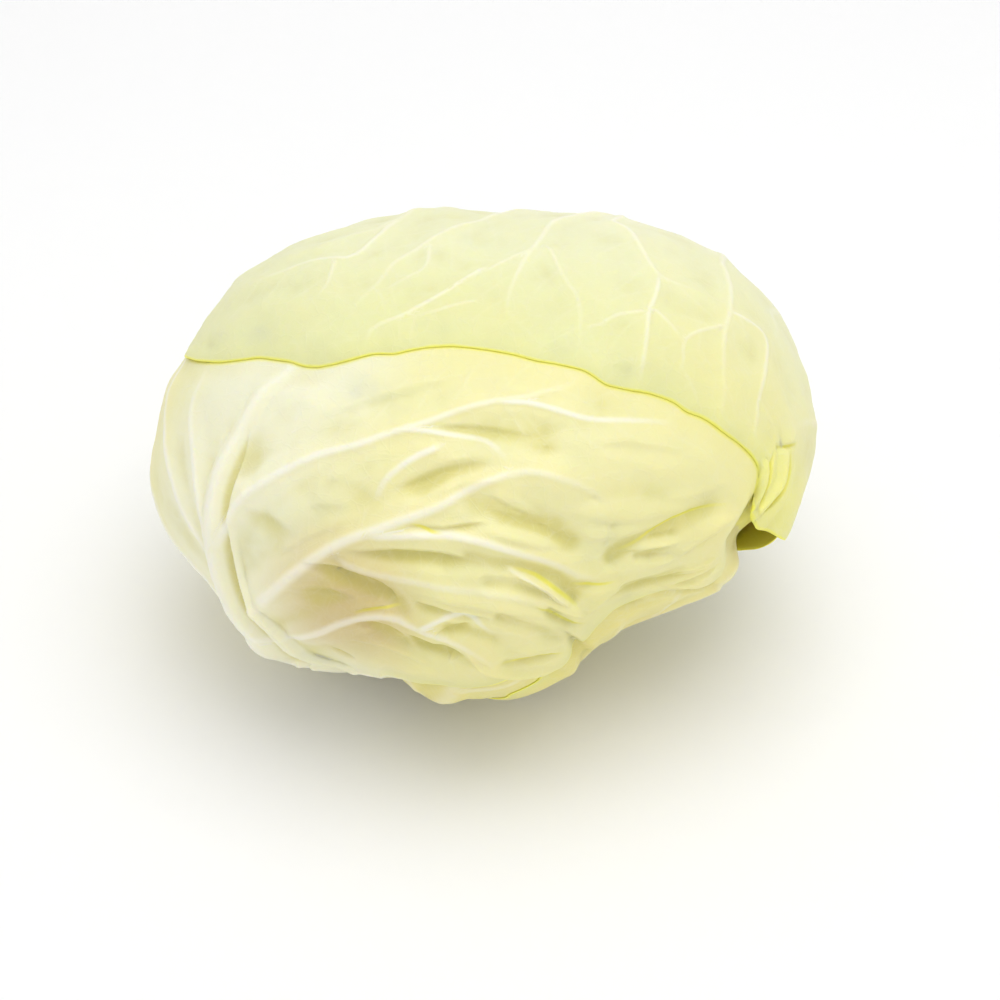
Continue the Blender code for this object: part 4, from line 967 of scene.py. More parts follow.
# %% Where a leaf's two sides lie
def leaf_top(index, d, places):
    """Distance from the head's centre to a leaf's outside before its own ribs are raised on it."""
    top = form(d, places, under=index > 1)
    top -= LAYER * slant(d) * sum(other.cover(d) for other in LEAVES[:index])
    for number, other in list(enumerate(LEAVES))[index + 1 :]:
        rise = blended(other.ribs, places, FOLLOWING)[0] * pressing(number, d)
        rise += blended(other.lifts, places, FOLLOWING)[0]
        top += other.cover(d) * rise
    top += blended(LEAVES[index].lifts, places)[0]
    if index > 0:
        top -= corner_room(places)
    return top


def sheet(index, d):
    """How far a leaf's two sides lie from the head's centre, and the marks that its paint reads."""
    leaf = LEAVES[index]
    places = d * head_radius(d)[:, None]
    longer = slant(d)
    within = leaf.within(d)
    edge = np.clip(within / THINNING, 0, 1)
    thickness = (MARGIN_THICKNESS + (BLADE_THICKNESS - MARGIN_THICKNESS) * edge) * longer
    gap = MARGIN_GAP + (LEAF_GAP - MARGIN_GAP) * edge
    top = leaf_top(index, d, places)
    top -= (LAYER - gap) * longer - thickness

    rib_relief, rib_across, rib_pale = blended(leaf.ribs, places)
    vein_relief, vein_across, vein_pale = blended(leaf.veins, places)
    relief = np.cbrt(rib_relief**3 + vein_relief**3)
    pressed = pressing(index, d)
    open_air = (pressed - 1 + PRESSED) / PRESSED
    uneven = sum(height * rumple(places, wave, seed + index) for height, wave, seed in UNEVENNESS)
    uneven = uneven * np.clip(within / UNEVEN_FROM, 0, 1) * open_air

    floor_limit = above_floor(d, index * LAYER)
    outer = np.minimum(top + relief * pressed + uneven, floor_limit)
    inner = np.minimum(top, floor_limit) - thickness
    rounding = RIM_ROUNDING * np.clip(1 - within / RIM_INSETS[1], 0, 1) ** 2

    _, crease_across, crease_pale = blended(CORNER_CREASES if index == 0 else CREASES, places)
    far_beyond = [np.full(len(d), -1.0)]
    under_others = np.max([other.within(d) for other in LEAVES[:index]] + far_beyond, axis=0)
    marks = {
        "rib_across": rib_across,
        "rib_close": 1 - np.abs(rib_across),
        "rib_pale": rib_pale,
        "vein": np.clip(1 - np.abs(vein_across), 0, 1) * vein_pale,
        "crease_across": crease_across,
        "crease_close": 1 - np.abs(crease_across),
        # How strongly the yellow painted shade of a crease shows
        "crease_pale": crease_pale * (index < 2),
        "inland": MM * within,
        "midrib": beside_midrib(leaf, places),
        # How far beyond the margin of a leaf over it a place lies; the paint lays a yellow painted shade
        # there
        "beyond": -MM * under_others,
    }
    return outer - rounding, inner + 0.5 * rounding, marks


# %% [markdown]
# ## Building the mesh of a leaf
# One grid becomes the leaf's outside, and a coarser one its inside, turned over so that it faces inwards.
# They are joined, and bridging their two rims closes the sheet all round. A Solidify modifier would be
# quicker, but it would make the ribs as hollow as a corrugated roof. In a real leaf they are solid and
# the inside is smooth. A grid that is fine enough for the sharp folds would be far too heavy all over, so
# the form is first tried on the even grid, and only the cells at which it bends most are split three by
# three.

# %% Grids and their vertices
COARSER = 3  # cells of the outside along each cell of the inside
# The inside of a leaf is painted as if it lay in a hollow, which gives it painted shade
INSIDE_HOLLOW = 0.6  # how deep in a hollow the inside of a leaf counts as, for its paint


def places_of(piece):
    """The places of a piece's vertices."""
    places = np.empty(3 * len(piece.data.vertices))
    piece.data.vertices.foreach_get("co", places)
    return places.reshape(-1, 3)


def grid_piece(name, cells):
    """A flat grid two units wide, and the places of its vertices."""
    bpy.ops.object.select_all(action="DESELECT")
    bpy.ops.mesh.primitive_grid_add(x_subdivisions=cells, y_subdivisions=cells, size=2, location=(0, 0, 0))
    piece = bpy.context.object
    piece.name = name
    return piece, places_of(piece)


def set_places(piece, places):
    piece.data.vertices.foreach_set("co", np.asarray(places, np.float32).ravel())
    piece.data.update()


def dress(piece, places, marks):
    """Moves a piece's vertices to their places and stores the marks on them that the paint reads."""
    set_places(piece, places)
    for name, values in marks.items():
        kept = piece.data.attributes.new(name, "FLOAT", "POINT")
        kept.data.foreach_set("value", np.asarray(values, np.float32))


def face(piece, outwards):
    """Turns the faces of a shell so that they all look away from the head's centre, or all towards it."""
    mesh = piece.data
    normals, middles = np.empty(3 * len(mesh.polygons)), np.empty(3 * len(mesh.polygons))
    mesh.polygons.foreach_get("normal", normals)
    mesh.polygons.foreach_get("center", middles)
    looking_out = (normals.reshape(-1, 3) * (middles.reshape(-1, 3) - CENTRE)).sum() > 0
    if looking_out != outwards:
        mesh.flip_normals()


# %% Finer cells where a leaf bends
RIM_KEPT = 6  # cells next to the margin that aren't split
CUTS = 2


def grid_numbers(flat, cells):
    """Row and column of a flat grid's places, in cells, and which of them lie where its lines cross."""
    where = (flat[:, :2] + 1) / 2 * cells
    at = np.rint(where).astype(int)
    return where, at, np.abs(where - at).max(1) < 0.01


def refine(piece, height, cells, count):
    """Splits the cells of a flat grid at which the leaf will bend most, three by three."""
    _, at, _ = grid_numbers(places_of(piece), cells)
    table = np.zeros((cells + 1, cells + 1))
    table[at[:, 0], at[:, 1]] = height
    bend = np.zeros_like(table)
    bend[1:-1] += np.abs(table[2:] + table[:-2] - 2 * table[1:-1])
    bend[:, 1:-1] += np.abs(table[:, 2:] + table[:, :-2] - 2 * table[:, 1:-1])
    bend[:RIM_KEPT] = bend[-RIM_KEPT:] = 0
    bend[:, :RIM_KEPT] = bend[:, -RIM_KEPT:] = 0
    in_cell = np.max([bend[:-1, :-1], bend[1:, :-1], bend[:-1, 1:], bend[1:, 1:]], axis=0)
    middles = np.empty(3 * len(piece.data.polygons))
    piece.data.polygons.foreach_get("center", middles)
    row, column = np.floor((middles.reshape(-1, 3)[:, :2].T + 1) / 2 * cells).astype(int)
    needed = in_cell[row, column]
    bpy.ops.object.mode_set(mode="EDIT")
    bpy.ops.mesh.select_mode(type="FACE")
    bpy.ops.mesh.select_all(action="DESELECT")
    bpy.ops.object.mode_set(mode="OBJECT")
    piece.data.polygons.foreach_set("select", needed > np.sort(needed)[-count])
    bpy.ops.object.mode_set(mode="EDIT")
    bpy.ops.mesh.subdivide(number_cuts=CUTS)
    bpy.ops.object.mode_set(mode="OBJECT")
    return places_of(piece)


# %% How deep in a hollow each place lies
HOLLOW_REACH = 7  # cells to either side that count most as a place's surroundings


def hollows(height, flat, cells):
    """How far each place of a grid lies below the mean of its surroundings, in metres."""
    where, at, on_grid = grid_numbers(flat, cells)
    table = np.zeros((cells + 1, cells + 1))
    table[at[on_grid, 0], at[on_grid, 1]] = height[on_grid]
    blur = bell(2 * HOLLOW_REACH, HOLLOW_REACH)
    padded = np.pad(table, 2 * HOLLOW_REACH, mode="edge")
    padded = np.apply_along_axis(np.convolve, 0, padded, blur, "valid")
    padded = np.apply_along_axis(np.convolve, 1, padded, blur, "valid")
    low = np.clip(np.floor(where + 1e-4).astype(int), 0, cells - 1)
    (i, j), (s, t) = low.T, (where - low).T
    mean = (padded[i, j] * (1 - s) + padded[i + 1, j] * s) * (1 - t)
    mean += (padded[i, j + 1] * (1 - s) + padded[i + 1, j + 1] * s) * t
    return mean - height


# %% Build a leaf
def leaf_outside(index, name, cells, finer):
    """The outer side of a leaf."""
    leaf, rings = LEAVES[index], cells // 2
    outside, flat = grid_piece(name, cells)
    d = leaf.spread_out(flat[:, 0], flat[:, 1], rings)
    if finer > 0:
        flat = refine(outside, sheet(index, d)[0] - head_radius(d), cells, finer)
        d = leaf.spread_out(flat[:, 0], flat[:, 1], rings)
    outer, _, marks = sheet(index, d)
    marks["hollow"] = MM * hollows(outer - head_radius(d), flat, cells)
    dress(outside, CENTRE + d * outer[:, None], marks)
    face(outside, outwards=True)
    return outside


def leaf_inside(index, name, cells):
    """The inner side of a leaf, on coarser cells."""
    inside, flat = grid_piece(name + "_inside", cells // COARSER)
    d = LEAVES[index].spread_out(flat[:, 0], flat[:, 1], cells // 2)
    _, inner, marks = sheet(index, d)
    marks["hollow"] = np.full(len(d), INSIDE_HOLLOW)
    dress(inside, CENTRE + d * inner[:, None], marks)
    face(inside, outwards=False)
    return inside


def leaf_piece(index, name, cells, finer=0):
    """The finished mesh of a leaf, from a grid of cells by cells of which `finer` cells are split."""
    outside = leaf_outside(index, name, cells, finer)
    inside = leaf_inside(index, name, cells)
    bpy.ops.object.select_all(action="DESELECT")
    inside.select_set(True)
    outside.select_set(True)
    bpy.context.view_layer.objects.active = outside
    bpy.ops.object.join()
    bpy.ops.object.mode_set(mode="EDIT")
    bpy.ops.mesh.select_all(action="DESELECT")
    bpy.ops.mesh.select_mode(type="EDGE")
    bpy.ops.mesh.select_non_manifold(
        extend=False, use_wire=False, use_multi_face=False, use_non_contiguous=False, use_verts=False
    )
    bpy.ops.mesh.bridge_edge_loops()
    bpy.ops.object.mode_set(mode="OBJECT")
    bpy.ops.object.shade_smooth()
    return outside


# %% Make the five leaves
# The two leaves that show have the finest cells
PIECES = {
    "crown_leaf": leaf_piece(0, "crown_wrapper_leaf", 232, finer=3800),
    "front_leaf": leaf_piece(1, "front_wrapper_leaf", 228, finer=4200),
    "right_leaf": leaf_piece(2, "right_wrapper_leaf", 144),
    "left_leaf": leaf_piece(3, "left_wrapper_leaf", 144),
    "lower_leaf": leaf_piece(4, "lower_wrapper_leaf", 144),
}
for node, piece in PIECES.items():
    print(piece.name, "triangles:", sum(len(face.vertices) - 2 for face in piece.data.polygons))

# %% [markdown]
# ## The heart
# Inside the wrapper leaves the head goes on: dozens of leaves packed into one dense body. Only a little
# of it can ever be seen, in the gaps round the stem. Modelling every leaf would cost as much again as all
# the rest and show nothing, so it is one closed body with the swell of a few ribs. A ball of rings and
# segments has its poles on the stem's line, which makes it easy to press the socket for the stem into one
# of them.

# %% Lay out the heart
HEART_RIBS = [
    Ridge(grown((24, 20), (60, 24), (110, 18), (150, 10)), 0.0016, 0.0060, 0.0004),
    Ridge(grown((24, -70), (60, -66), (110, -62), (140, -50)), 0.0016, 0.0060, 0.0004),
    Ridge(grown((24, -160), (60, -156), (110, -150), (140, -150)), 0.0012, 0.0060, 0.0004),
    Ridge(grown((24, 110), (60, 112), (110, 116), (140, 120)), 0.0012, 0.0060, 0.0004),
]
HEART_SPARE = 0.0014
HEART_RINGS = 72
HEART_SPIN = 108
SOCKET_MOUTH = 17.5  # degrees from the stem's line at which the heart's skin turns in to its socket
CORE_GAP = 0.0004

# The socket's wall: share of the way in, distance along the stem's line, and radius
SOCKET_SHARES = (0, 0.25, 0.6, 0.85, 1)
SOCKET_AT = (0.050, 0.050, 0.035, 0.020, 0.020 - CORE_GAP)
SOCKET_RADII = (0.0095, 0.0095, 0.0078, 0.0050, 0)


def heart_radius(d):
    """Distance from the head's centre to the heart's outside in directions d."""
    places = d * head_radius(d)[:, None]
    under = form(d, places, under=True) - LAYER * slant(d) * sum(leaf.cover(d) for leaf in LEAVES)
    swollen = under - HEART_SPARE + blended(HEART_RIBS, places)[0] - corner_room(places)
    return np.minimum(swollen, above_floor(d, len(LEAVES) * LAYER))


def heart_piece():
    """A ball shaped into the heart, with the socket that the stem's core stands in pressed into it."""
    bpy.ops.object.select_all(action="DESELECT")
    bpy.ops.mesh.primitive_uv_sphere_add(
        segments=HEART_SPIN, ring_count=HEART_RINGS, radius=1, location=(0, 0, 0)
    )
    heart = bpy.context.object
    heart.name = "cabbage_heart"
    ball = unit(places_of(heart))
    d = ball[:, :1] * SIDE_OF_STEM - ball[:, 1:2] * BACK_OF_STEM - ball[:, 2:] * STEM
    out = np.arccos(np.clip(d @ STEM, -1, 1))
    places = d * heart_radius(d)[:, None]
    mouth = radians(SOCKET_MOUTH)
    inward = out < mouth
    around = unit(d - (d @ STEM)[:, None] * STEM + 1e-9 * BACK_OF_STEM)
    share = np.clip(1 - out / mouth, 0, 1)
    at = np.interp(share, SOCKET_SHARES, SOCKET_AT)
    radius = np.interp(share, SOCKET_SHARES, SOCKET_RADII)
    socket = at[:, None] * STEM + (radius + CORE_GAP * (radius > 0))[:, None] * around
    places[inward] = socket[inward]
    set_places(heart, CENTRE + places)
    bpy.ops.object.mode_set(mode="EDIT")
    bpy.ops.mesh.select_all(action="SELECT")
    bpy.ops.mesh.normals_make_consistent(inside=False)
    bpy.ops.object.mode_set(mode="OBJECT")
    bpy.ops.object.shade_smooth()
    return heart


PIECES["heart"] = heart_piece()
print("heart faces:", len(PIECES["heart"].data.polygons))

# %% [markdown]
# ## The stem
# The head was cut from its root, which leaves a short stump with a flat face. The leaf bases grip it, and
# inside the head it tapers into the core. A cylinder could be narrowed ring by ring, but a stump is as
# round as a chess piece, so it is turned like one: a profile spun round its own line. Furrows, rings and
# the sunken pith follow.

# %% Turn the stem
# Distance along the stem's line, and radius
STEM_PROFILE = [
    (0.0735, 0.0000), (0.0735, 0.0040), (0.0735, 0.0080), (0.0735, 0.0115), (0.0735, 0.0133),
    (0.07345, 0.0139), (0.0732, 0.01435), (0.0729, 0.0145), (0.0715, 0.0144), (0.0690, 0.0137),
    (0.0660, 0.0129), (0.0630, 0.0122), (0.0600, 0.0118), (0.0560, 0.0110), (0.0530, 0.0102),
    (0.0500, 0.0095), (0.0430, 0.0086), (0.0350, 0.0078), (0.0270, 0.0064), (0.0200, 0.0050),
    (0.0200, 0.0000),
]
STEM_SPIN = 96


def turned_stem():
    """The stump and its core, spun from their profile."""
    bpy.ops.object.select_all(action="DESELECT")
    mesh = bpy.data.meshes.new("cut_stem")
    line = [tuple(CENTRE + at * STEM + radius * BACK_OF_STEM) for at, radius in STEM_PROFILE]
    mesh.from_pydata(line, [(i, i + 1) for i in range(len(line) - 1)], [])
    stem = bpy.data.objects.new("cut_stem", mesh)
    bpy.context.collection.objects.link(stem)
    bpy.context.view_layer.objects.active = stem
    stem.select_set(True)
    bpy.ops.object.mode_set(mode="EDIT")
    bpy.ops.mesh.select_all(action="SELECT")
    bpy.ops.mesh.subdivide(number_cuts=3)
    bpy.ops.mesh.select_all(action="SELECT")
    bpy.ops.mesh.spin(steps=STEM_SPIN, angle=2 * pi, center=CENTRE, axis=STEM)
    bpy.ops.mesh.select_all(action="SELECT")
    bpy.ops.mesh.remove_doubles(threshold=0.00002)
    bpy.ops.mesh.normals_make_consistent(inside=False)
    bpy.ops.object.mode_set(mode="OBJECT")
    bpy.ops.object.shade_smooth_by_angle(angle=radians(50))
    return stem


# %% Furrow its side and wear its cut face
FURROW_DEPTH = 0.00022
THIN_FURROW_DEPTH = 0.00012
RING_RADIUS = 0.0105  # where the sap ran, between the pith and the skin
RING_WIDTH = 0.0007
RING_DEPTH = 0.0004
PITH_RADIUS = 0.005
PITH_DEPTH = 0.0008


def weather(stem):
    """Furrows down the side of the stump, and a ring and a sunken pith in its cut face."""
    places = places_of(stem) - CENTRE
    at = places @ STEM
    off = places - at[:, None] * STEM
    radius = np.linalg.norm(off, axis=1)
    around = np.arctan2(off @ SIDE_OF_STEM, off @ BACK_OF_STEM)
    furrow = FURROW_DEPTH * np.sin(17 * around + 3 * np.sin(2 * around))
    furrow = furrow + THIN_FURROW_DEPTH * np.sin(41 * around + 90 * at)
    side = np.clip((0.0725 - at) / 0.003, 0, 1) * np.clip((at - 0.052) / 0.004, 0, 1)
    places -= (np.abs(furrow) * side)[:, None] * off / np.maximum(radius, 1e-6)[:, None]
    sunk = RING_DEPTH * np.exp(-((radius - RING_RADIUS) / RING_WIDTH) ** 2)
    sunk = sunk + PITH_DEPTH * np.exp(-((radius / PITH_RADIUS) ** 2))
    places -= (sunk * (at > STEM_CUT_AT - 0.00001))[:, None] * STEM
    set_places(stem, CENTRE + places)


PIECES["stem"] = turned_stem()
weather(PIECES["stem"])
print("stem faces:", len(PIECES["stem"].data.polygons))

# %% [markdown]
# ## Paint that is written like arithmetic
# A leaf's colour changes with its ribs, its hollows and its margin. Wiring that by hand in the shader
# editor takes dozens of nodes, and nobody can read them afterwards. Here a small class wraps a socket, so
# that sums and products of masks are written as plain expressions, and each one adds its Math node.

# %% A value in a material's node tree
SCATTER_REACH = (1.0, 0.85, 0.35)
SCATTER_SCALE = 0.0022


class Wire:
    """A number that varies over a surface."""

    def __init__(self, paint, socket):
        self.paint, self.socket = paint, socket

    def math(self, operation, first, second=0.0, clamp=False):
        """A Math node's result."""
        settings = {"operation": operation, "use_clamp": clamp}
        return self.paint.node("ShaderNodeMath", settings, {0: first, 1: second})

    def __add__(self, other):
        return self.math("ADD", self, other)

    def __sub__(self, other):
        return self.math("SUBTRACT", self, other)

    def __rsub__(self, other):
        return self.math("SUBTRACT", other, self)

    def __mul__(self, other):
        return self.math("MULTIPLY", self, other)

    def __truediv__(self, other):
        return self.math("DIVIDE", self, other)

    def __pow__(self, other):
        return self.math("POWER", self, other)

    __radd__, __rmul__ = __add__, __mul__

    def size(self):
        """The same number without its sign."""
        return self.math("ABSOLUTE", self)

    def clipped(self):
        """The same number, kept between 0 and 1."""
        return self.math("ADD", self, 0.0, clamp=True)

    def smooth(self):
        """The same number, kept between 0 and 1 and eased at both ends."""
        kept = self.clipped()
        return kept * kept * (3 - kept * 2)

    def eased(self, start, full):
        """0 where the number is `start` and 1 where it is `full`, which may be the smaller one."""
        return ((self - start) / (full - start)).smooth()


class Paint:
    """A material, and its nodes as calls."""

    def __init__(self, name):
        self.material = bpy.data.materials.new(name)
        self.material.use_nodes = True
        self.tree = self.material.node_tree
        self.shader = self.tree.nodes["Principled BSDF"]
        self.where = self.node("ShaderNodeTexCoord", {}, {}, "Object")

    def put(self, socket, value):
        """Links a wire to a socket, or sets the socket's own value."""
        if isinstance(value, Wire):
            self.tree.links.new(value.socket, socket)
        else:
            socket.default_value = value

    def node(self, kind, settings, inputs, output=0):
        """Adds a node with its settings and the values or wires of its sockets, and gives one output."""
        made = self.tree.nodes.new(kind)
        for name, value in settings.items():
            setattr(made, name, value)
        for name, value in inputs.items():
            self.put(made.inputs[name], value)
        return Wire(self, made.outputs[output])

    def vector(self, operation, inputs, output=0):
        """A Vector Math node's result."""
        return self.node("ShaderNodeVectorMath", {"operation": operation}, inputs, output)

    def kept(self, name):
        """A number stored on the mesh."""
        return self.node("ShaderNodeAttribute", {"attribute_name": name}, {}, "Fac")

    def stripe(self, name):
        """1 along the lines whose way across is stored on the mesh, 0 beside them.

        Across a line the stored way is even, so it stays sharp on a coarse mesh. Between two lines it jumps
        from one side to the other, and the closeness, which is low there, hides that.
        """
        along = ((1 - self.kept(name + "_across").size()) * 1.15).smooth()
        return along * (self.kept(name + "_close") * 3 + 1).clipped() * self.kept(name + "_pale")

    def noise(self, size, detail=2.0, output="Fac"):
        """Cloudy noise from 0 to 1, with patches of about the given size in metres."""
        inputs = {"Vector": self.where, "Scale": 1 / size, "Detail": detail}
        return self.node("ShaderNodeTexNoise", {}, inputs, output)

    def bent(self, size, amount):
        """The places on the surface, pushed about by noise so that no pattern on them runs straight."""
        push = self.noise(size, output="Color")
        return self.vector("MULTIPLY_ADD", {0: push, 1: (amount, amount, amount), 2: self.where})

    def away_from(self, place):
        """Distance from a place, in millimetres."""
        return self.vector("DISTANCE", {0: self.where, 1: tuple(place)}, "Value") * MM

    def net(self, size, width, where):
        """1 on the lines of a net, 0 beside them; `width` is the share of its meshes that a line takes."""
        inputs = {"Vector": where, "Scale": 1 / size}
        away = self.node("ShaderNodeTexVoronoi", {"feature": "DISTANCE_TO_EDGE"}, inputs, "Distance")
        return (1 - away / width).clipped()

    def mixed(self, share, first, second):
        """A colour between two colours."""
        inputs = {0: share, 6: first, 7: second}
        return self.node("ShaderNodeMix", {"data_type": "RGBA", "clamp_factor": True}, inputs, 2)

    def scatter(self, weight):
        """Lets light a little way into the surface, red furthest and blue least, as leaf tissue does."""
        self.shader.inputs["Subsurface Weight"].default_value = weight
        self.shader.inputs["Subsurface Radius"].default_value = SCATTER_REACH
        self.shader.inputs["Subsurface Scale"].default_value = SCATTER_SCALE

    def finish(self, colour, roughness, height):
        """Links what varies to the shader. The height is in metres and makes the bump."""
        self.put(self.shader.inputs["Base Color"], colour)
        self.put(self.shader.inputs["Roughness"], roughness)
        bump = self.node("ShaderNodeBump", {}, {"Height": height, "Distance": 1.0, "Strength": 1.0})
        self.put(self.shader.inputs["Normal"], bump)
        return self.material


# %% [markdown]
# ## The finish of a leaf
# Fresh cabbage is pale because its tissue scatters light under a thin layer of wax. Blades are yellow
# green, ribs and the blade beside the midrib nearly white. Where the blade turns into a hollow, painted
# shade makes it darker and stronger in colour. Its thin margin is a strong yellow green, partly its own
# colour and partly the painted shade of the narrow gap under it, and just beyond the margin of a leaf
# over it, and in its sharp creases, a blade carries a yellow painted shade. Towards the right of the head
# the blade turns a warmer cream and towards the left it is waxier. The low left corner, next to the
# ground, is painted tan as shade. A finer net of veins than the mesh can hold comes from two nets of
# Voronoi cells, bent a little by noise.

# %% Leaf colours, and two places on the head that have their own; the tan one is painted shade
RIB_WHITE = (0.95, 0.92, 0.78, 1)
BASE_WHITE = (0.92, 0.90, 0.68, 1)
WAX_WHITE = (0.83, 0.83, 0.53, 1)
CREAM = (0.93, 0.84, 0.37, 1)
SUNNY = (0.88, 0.85, 0.30, 1)
# A yellow that stands for shade, in sharp creases and just beyond the margin of a leaf over this one
SHADE_YELLOW = (0.92, 0.85, 0.12, 1)
YOUNG_GREEN = (0.97, 0.93, 0.20, 1)
# The margin's own stronger colour together with the painted shade of the narrow gap under it
MARGIN_EDGE_AND_SHADE = (1.00, 0.95, 0.12, 1)
# The colour of the painted shade in hollows
HOLLOW_SHADE = (0.66, 0.59, 0.13, 1)
# A tan that stands for shade, painted low on the left of the head next to the ground
TAN_SHADE = (0.60, 0.44, 0.18, 1)
# The place round which the tan painted shade is laid
SHADED_LOW_LEFT = CENTRE + 0.086 * seen((335, 608))[0]
ROLLED_CORNER = CENTRE + 0.105 * seen((778, 492))[0]
print("tan corner, mm:", np.round(MM * SHADED_LOW_LEFT, 1), "rolled corner, mm:", np.round(MM * ROLLED_CORNER, 1))


# %% The finish of a leaf
def leaf_layers(paint, warm, bloom, base, rib_strength, nets, patches, rib):
    """The colours laid over a leaf's blade, from the lowest up, each with the share that it covers.

    Distances in the masks are millimetres: how far inland from the margin, right of the head's middle, away
    from a corner, and how deep in a hollow. `bloom` is how waxy the leaf is, `base` how white its middle.
    """
    inland, beyond = paint.kept("inland"), paint.kept("beyond")
    right = paint.node("ShaderNodeSeparateXYZ", {}, {"Vector": paint.where}, "X") * MM
    # Painted shade: how close a place is to the low left corner that is painted tan
    painted_shade_corner = paint.away_from(SHADED_LOW_LEFT).eased(36, 6)
    rolled = paint.away_from(ROLLED_CORNER).eased(26, 6)
    veins = nets + paint.kept("vein") * 1.4
    margin_width = 0.35 + paint.noise(0.012) * 1.1
    margin = (1.25 - inland / margin_width).clipped()
    return [
        ((patches * 1.8 - 0.5).clipped(), warm),
        # Warmer cream towards the right of the head, waxier white towards the left
        (right.eased(20, 100) * 0.55, CREAM),
        (right.eased(-20, -90) * 0.5 * bloom, WAX_WHITE),
        ((inland / 45 - 0.35).clipped() * bloom, WAX_WHITE),
        ((paint.kept("midrib") * 1.3).smooth() * base, BASE_WHITE),
        (inland.eased(12, 0) * 0.4, SUNNY),
        (rolled * 0.55 * bloom, YOUNG_GREEN),
        # Painted tan shade on the low left corner
        (painted_shade_corner * 0.75, TAN_SHADE),
        # Painted shade: darker and stronger colour the deeper a place lies in a hollow
        ((paint.kept("hollow") * 0.6).smooth() * 0.62, HOLLOW_SHADE),
        (veins * 0.45, RIB_WHITE),
        (rib * rib_strength, RIB_WHITE),
        # Yellow painted shade in sharp creases
        (paint.stripe("crease") * 0.9, SHADE_YELLOW),
        # More painted tan shade on the low left corner, laid over the ribs
        (painted_shade_corner * 0.25, TAN_SHADE),
        # Yellow painted shade just beyond the margin of a leaf that lies over this one
        (beyond.eased(1.6, 0) * 0.8, SHADE_YELLOW),
        # The margin's own colour, partly painted shade of the gap under it
        (margin * 0.9, MARGIN_EDGE_AND_SHADE),
    ]


def leaf_finish(name, blade, warm, bloom, base, rib_strength, roughness):
    """The material of one leaf; `warm` is the colour that its blade drifts to in patches."""
    paint = Paint(name)
    bent = paint.bent(1 / 160, 0.0024)
    wide_net = paint.net(0.0055, 0.07, bent)
    fine_net = paint.net(0.0019, 0.12, bent)
    patches = paint.noise(0.030, detail=3.0)
    freckle = paint.noise(0.0012)
    rib = paint.stripe("rib")
    nets = wide_net * 0.13 + fine_net * 0.07
    colour = blade
    for share, tint in leaf_layers(paint, warm, bloom, base, rib_strength, nets, patches, rib):
        colour = paint.mixed(share, colour, tint)
    rough = roughness + patches * 0.10 - rib * 0.06 + freckle * 0.04
    height = rib * 0.00012 + wide_net * 0.00004 + fine_net * 0.000015 + freckle * 0.00001
    height = height + paint.noise(0.005, detail=1.0) * 0.00006
    paint.scatter(0.45)
    paint.shader.inputs["Specular IOR Level"].default_value = 0.40
    paint.shader.inputs["Coat Weight"].default_value = 0.06
    paint.shader.inputs["Coat Roughness"].default_value = 0.30
    return paint.finish(colour, rough, height)


# %% One finish for the crown leaf, one for the front leaf, one for the three below
FINISHES = {
    "crown_leaf": ("crown_blade", leaf_finish(
        "waxy_crown_blade", blade=(0.78, 0.79, 0.41, 1), warm=(0.79, 0.77, 0.37, 1),
        bloom=0.80, base=0.40, rib_strength=0.50, roughness=0.46,
    )),
    "front_leaf": ("front_blade", leaf_finish(
        "silky_front_blade", blade=(0.88, 0.82, 0.37, 1), warm=(0.91, 0.82, 0.39, 1),
        bloom=0.30, base=0.80, rib_strength=0.80, roughness=0.40,
    )),
    "right_leaf": ("under_blade", leaf_finish(
        "pale_under_blade", blade=(0.84, 0.76, 0.24, 1), warm=(0.85, 0.74, 0.26, 1),
        bloom=0.00, base=0.10, rib_strength=0.35, roughness=0.42,
    )),
}
FINISHES["left_leaf"] = FINISHES["lower_leaf"] = FINISHES["right_leaf"]
print("leaf finishes:", ", ".join(sorted({material.name for _, material in FINISHES.values()})))

# %% [markdown]
# ## Heart and stem
# The heart is creamier than the blades. The stem's cut has dried: it is beige, darker in a ring where the
# sap ran, with fine pits, and its side is greener and fibrous. The ring could be an image laid on the cut
# face, but one that is worked out from the distance to the stem's own line stays sharp from any distance.

# %% The heart's and the stem's finish
def heart_finish():
    """Cream flesh with slightly paler patches."""
    paint = Paint("cream_heart")
    patches = paint.noise(0.020, detail=3.0)
    colour = paint.mixed(patches, (0.80, 0.77, 0.44, 1), (0.86, 0.83, 0.58, 1))
    paint.scatter(0.4)
    return paint.finish(colour, 0.42 + patches * 0.1, patches * 0.0004)


CUT_FROM = 0.0731  # distance along the stem's line from which it is cut face
RING_SPREAD = 0.0000012  # square of the dark ring's half width


def stem_finish():
    """A green fibrous side and a dry beige cut face with a dark ring and pits."""
    paint = Paint("dry_cut_stem")
    out = paint.vector("SUBTRACT", {0: paint.where, 1: tuple(CENTRE)})
    at = paint.vector("DOT_PRODUCT", {0: out, 1: tuple(STEM)}, "Value")
    length = paint.vector("LENGTH", {0: out}, "Value")
    radius = (length * length - at * at) ** 0.5
    ring = (1 - (radius - RING_RADIUS) * (radius - RING_RADIUS) / RING_SPREAD).clipped()
    cut_face = ((at - CUT_FROM) / 0.0003).clipped()
    patches = paint.noise(0.006, detail=4.0)
    pits = (paint.noise(0.0007) * 3.0 - 1.2).clipped()
    side = paint.mixed(patches, (0.66, 0.66, 0.40, 1), (0.80, 0.77, 0.56, 1))
    cut = paint.mixed(patches, (0.70, 0.58, 0.38, 1), (0.80, 0.72, 0.52, 1))
    cut = paint.mixed(ring * 0.6, cut, (0.46, 0.34, 0.18, 1))
    cut = paint.mixed((1 - pits) * 0.3, cut, (0.50, 0.38, 0.22, 1))
    colour = paint.mixed(cut_face, side, cut)
    paint.scatter(0.25)
    return paint.finish(colour, 0.55 + patches * 0.2, patches * 0.0003 + pits * 0.0001)


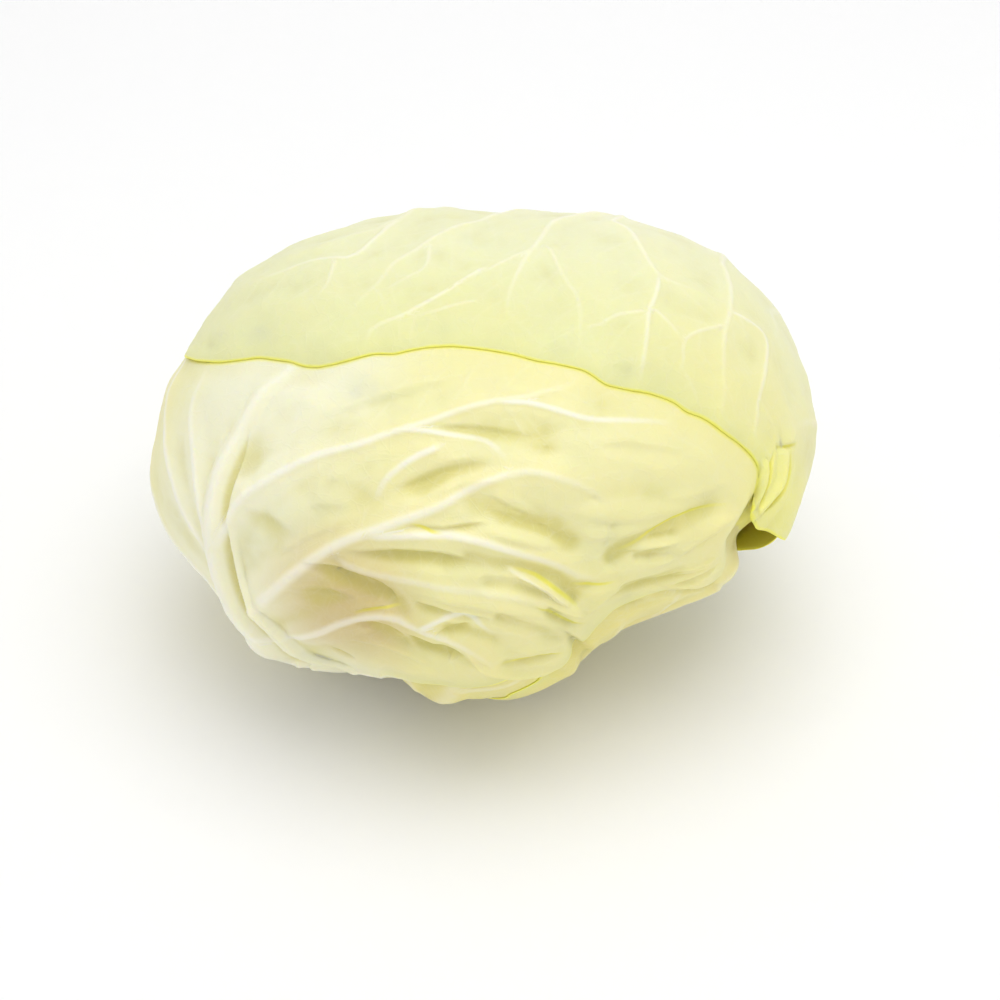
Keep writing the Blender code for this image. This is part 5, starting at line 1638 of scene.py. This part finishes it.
FINISHES["heart"] = ("heart_flesh", heart_finish())
FINISHES["stem"] = ("stem_flesh", stem_finish())

# %% Each piece takes its node's place
for node, piece in PIECES.items():
    slot, material = FINISHES[node]
    piece.data.materials.clear()
    piece.data.materials.append(material)
    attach(piece, "root")
    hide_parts(node)
    print(piece.name, "takes the place of", node, "in", material.name)

# %% [markdown]
# ## Floor, light and camera
# The head lies on a plain, nearly white floor. A large soft light hangs above it, a little to the right
# and to the front, and a bright even surround fills the shadows, as in a small photo tent. Three lamps
# could be balanced against each other instead, but each would throw its own edge of shadow, and pale
# leaves show every one. The camera stands where the eye of the layout is, so that all that was laid out
# falls where it should.

# %% Floor
FLOOR_SIZE = 12
FLOOR_WHITE = (0.95, 0.95, 0.95, 1)
bpy.ops.object.select_all(action="DESELECT")
bpy.ops.mesh.primitive_plane_add(size=FLOOR_SIZE, location=(0, 0, 0))
floor = bpy.context.object
floor.name = "floor"
floor_paint = Paint("pale_floor")
floor_paint.shader.inputs["Base Color"].default_value = FLOOR_WHITE
floor_paint.shader.inputs["Roughness"].default_value = 0.9
floor.data.materials.append(floor_paint.material)

# %% Light
KEY_PLACE = (0.12, -0.08, 1.35)
KEY_SIZE = 1.1
KEY_POWER = 7.4
SURROUND = 0.76
bpy.ops.object.light_add(type="AREA", location=KEY_PLACE)
key = bpy.context.object
key.data.size = KEY_SIZE
key.data.energy = KEY_POWER
key.rotation_euler = Vector(CENTRE - np.array(KEY_PLACE)).to_track_quat("-Z", "Y").to_euler()
print("key light:", KEY_POWER, "W at", KEY_PLACE)

# %% Surround
world = bpy.data.worlds.new("surround")
world.use_nodes = True
world.node_tree.nodes["Background"].inputs["Color"].default_value = (1, 1, 1, 1)
world.node_tree.nodes["Background"].inputs["Strength"].default_value = SURROUND
bpy.context.scene.world = world
bpy.context.scene.view_settings.view_transform = "Standard"

# %% Fewer bounces than usual are enough in such even light
cycles = bpy.context.scene.cycles
cycles.max_bounces = 5
cycles.diffuse_bounces = 3
cycles.glossy_bounces = 2
cycles.use_adaptive_sampling = True
cycles.adaptive_threshold = 0.03
cycles.adaptive_min_samples = 12

# %% Camera
LENS = 90.0
SENSOR = 36.0
bpy.ops.object.camera_add(location=tuple(CENTRE + EYE), rotation=(pi / 2 - SIGHT_RISE, 0, 0))
camera = bpy.context.object
camera.data.lens = LENS
camera.data.sensor_width = SENSOR
camera.data.clip_start = 0.05
camera.data.clip_end = 30
bpy.context.scene.camera = camera
print("camera at, m:", np.round(CENTRE + EYE, 3))
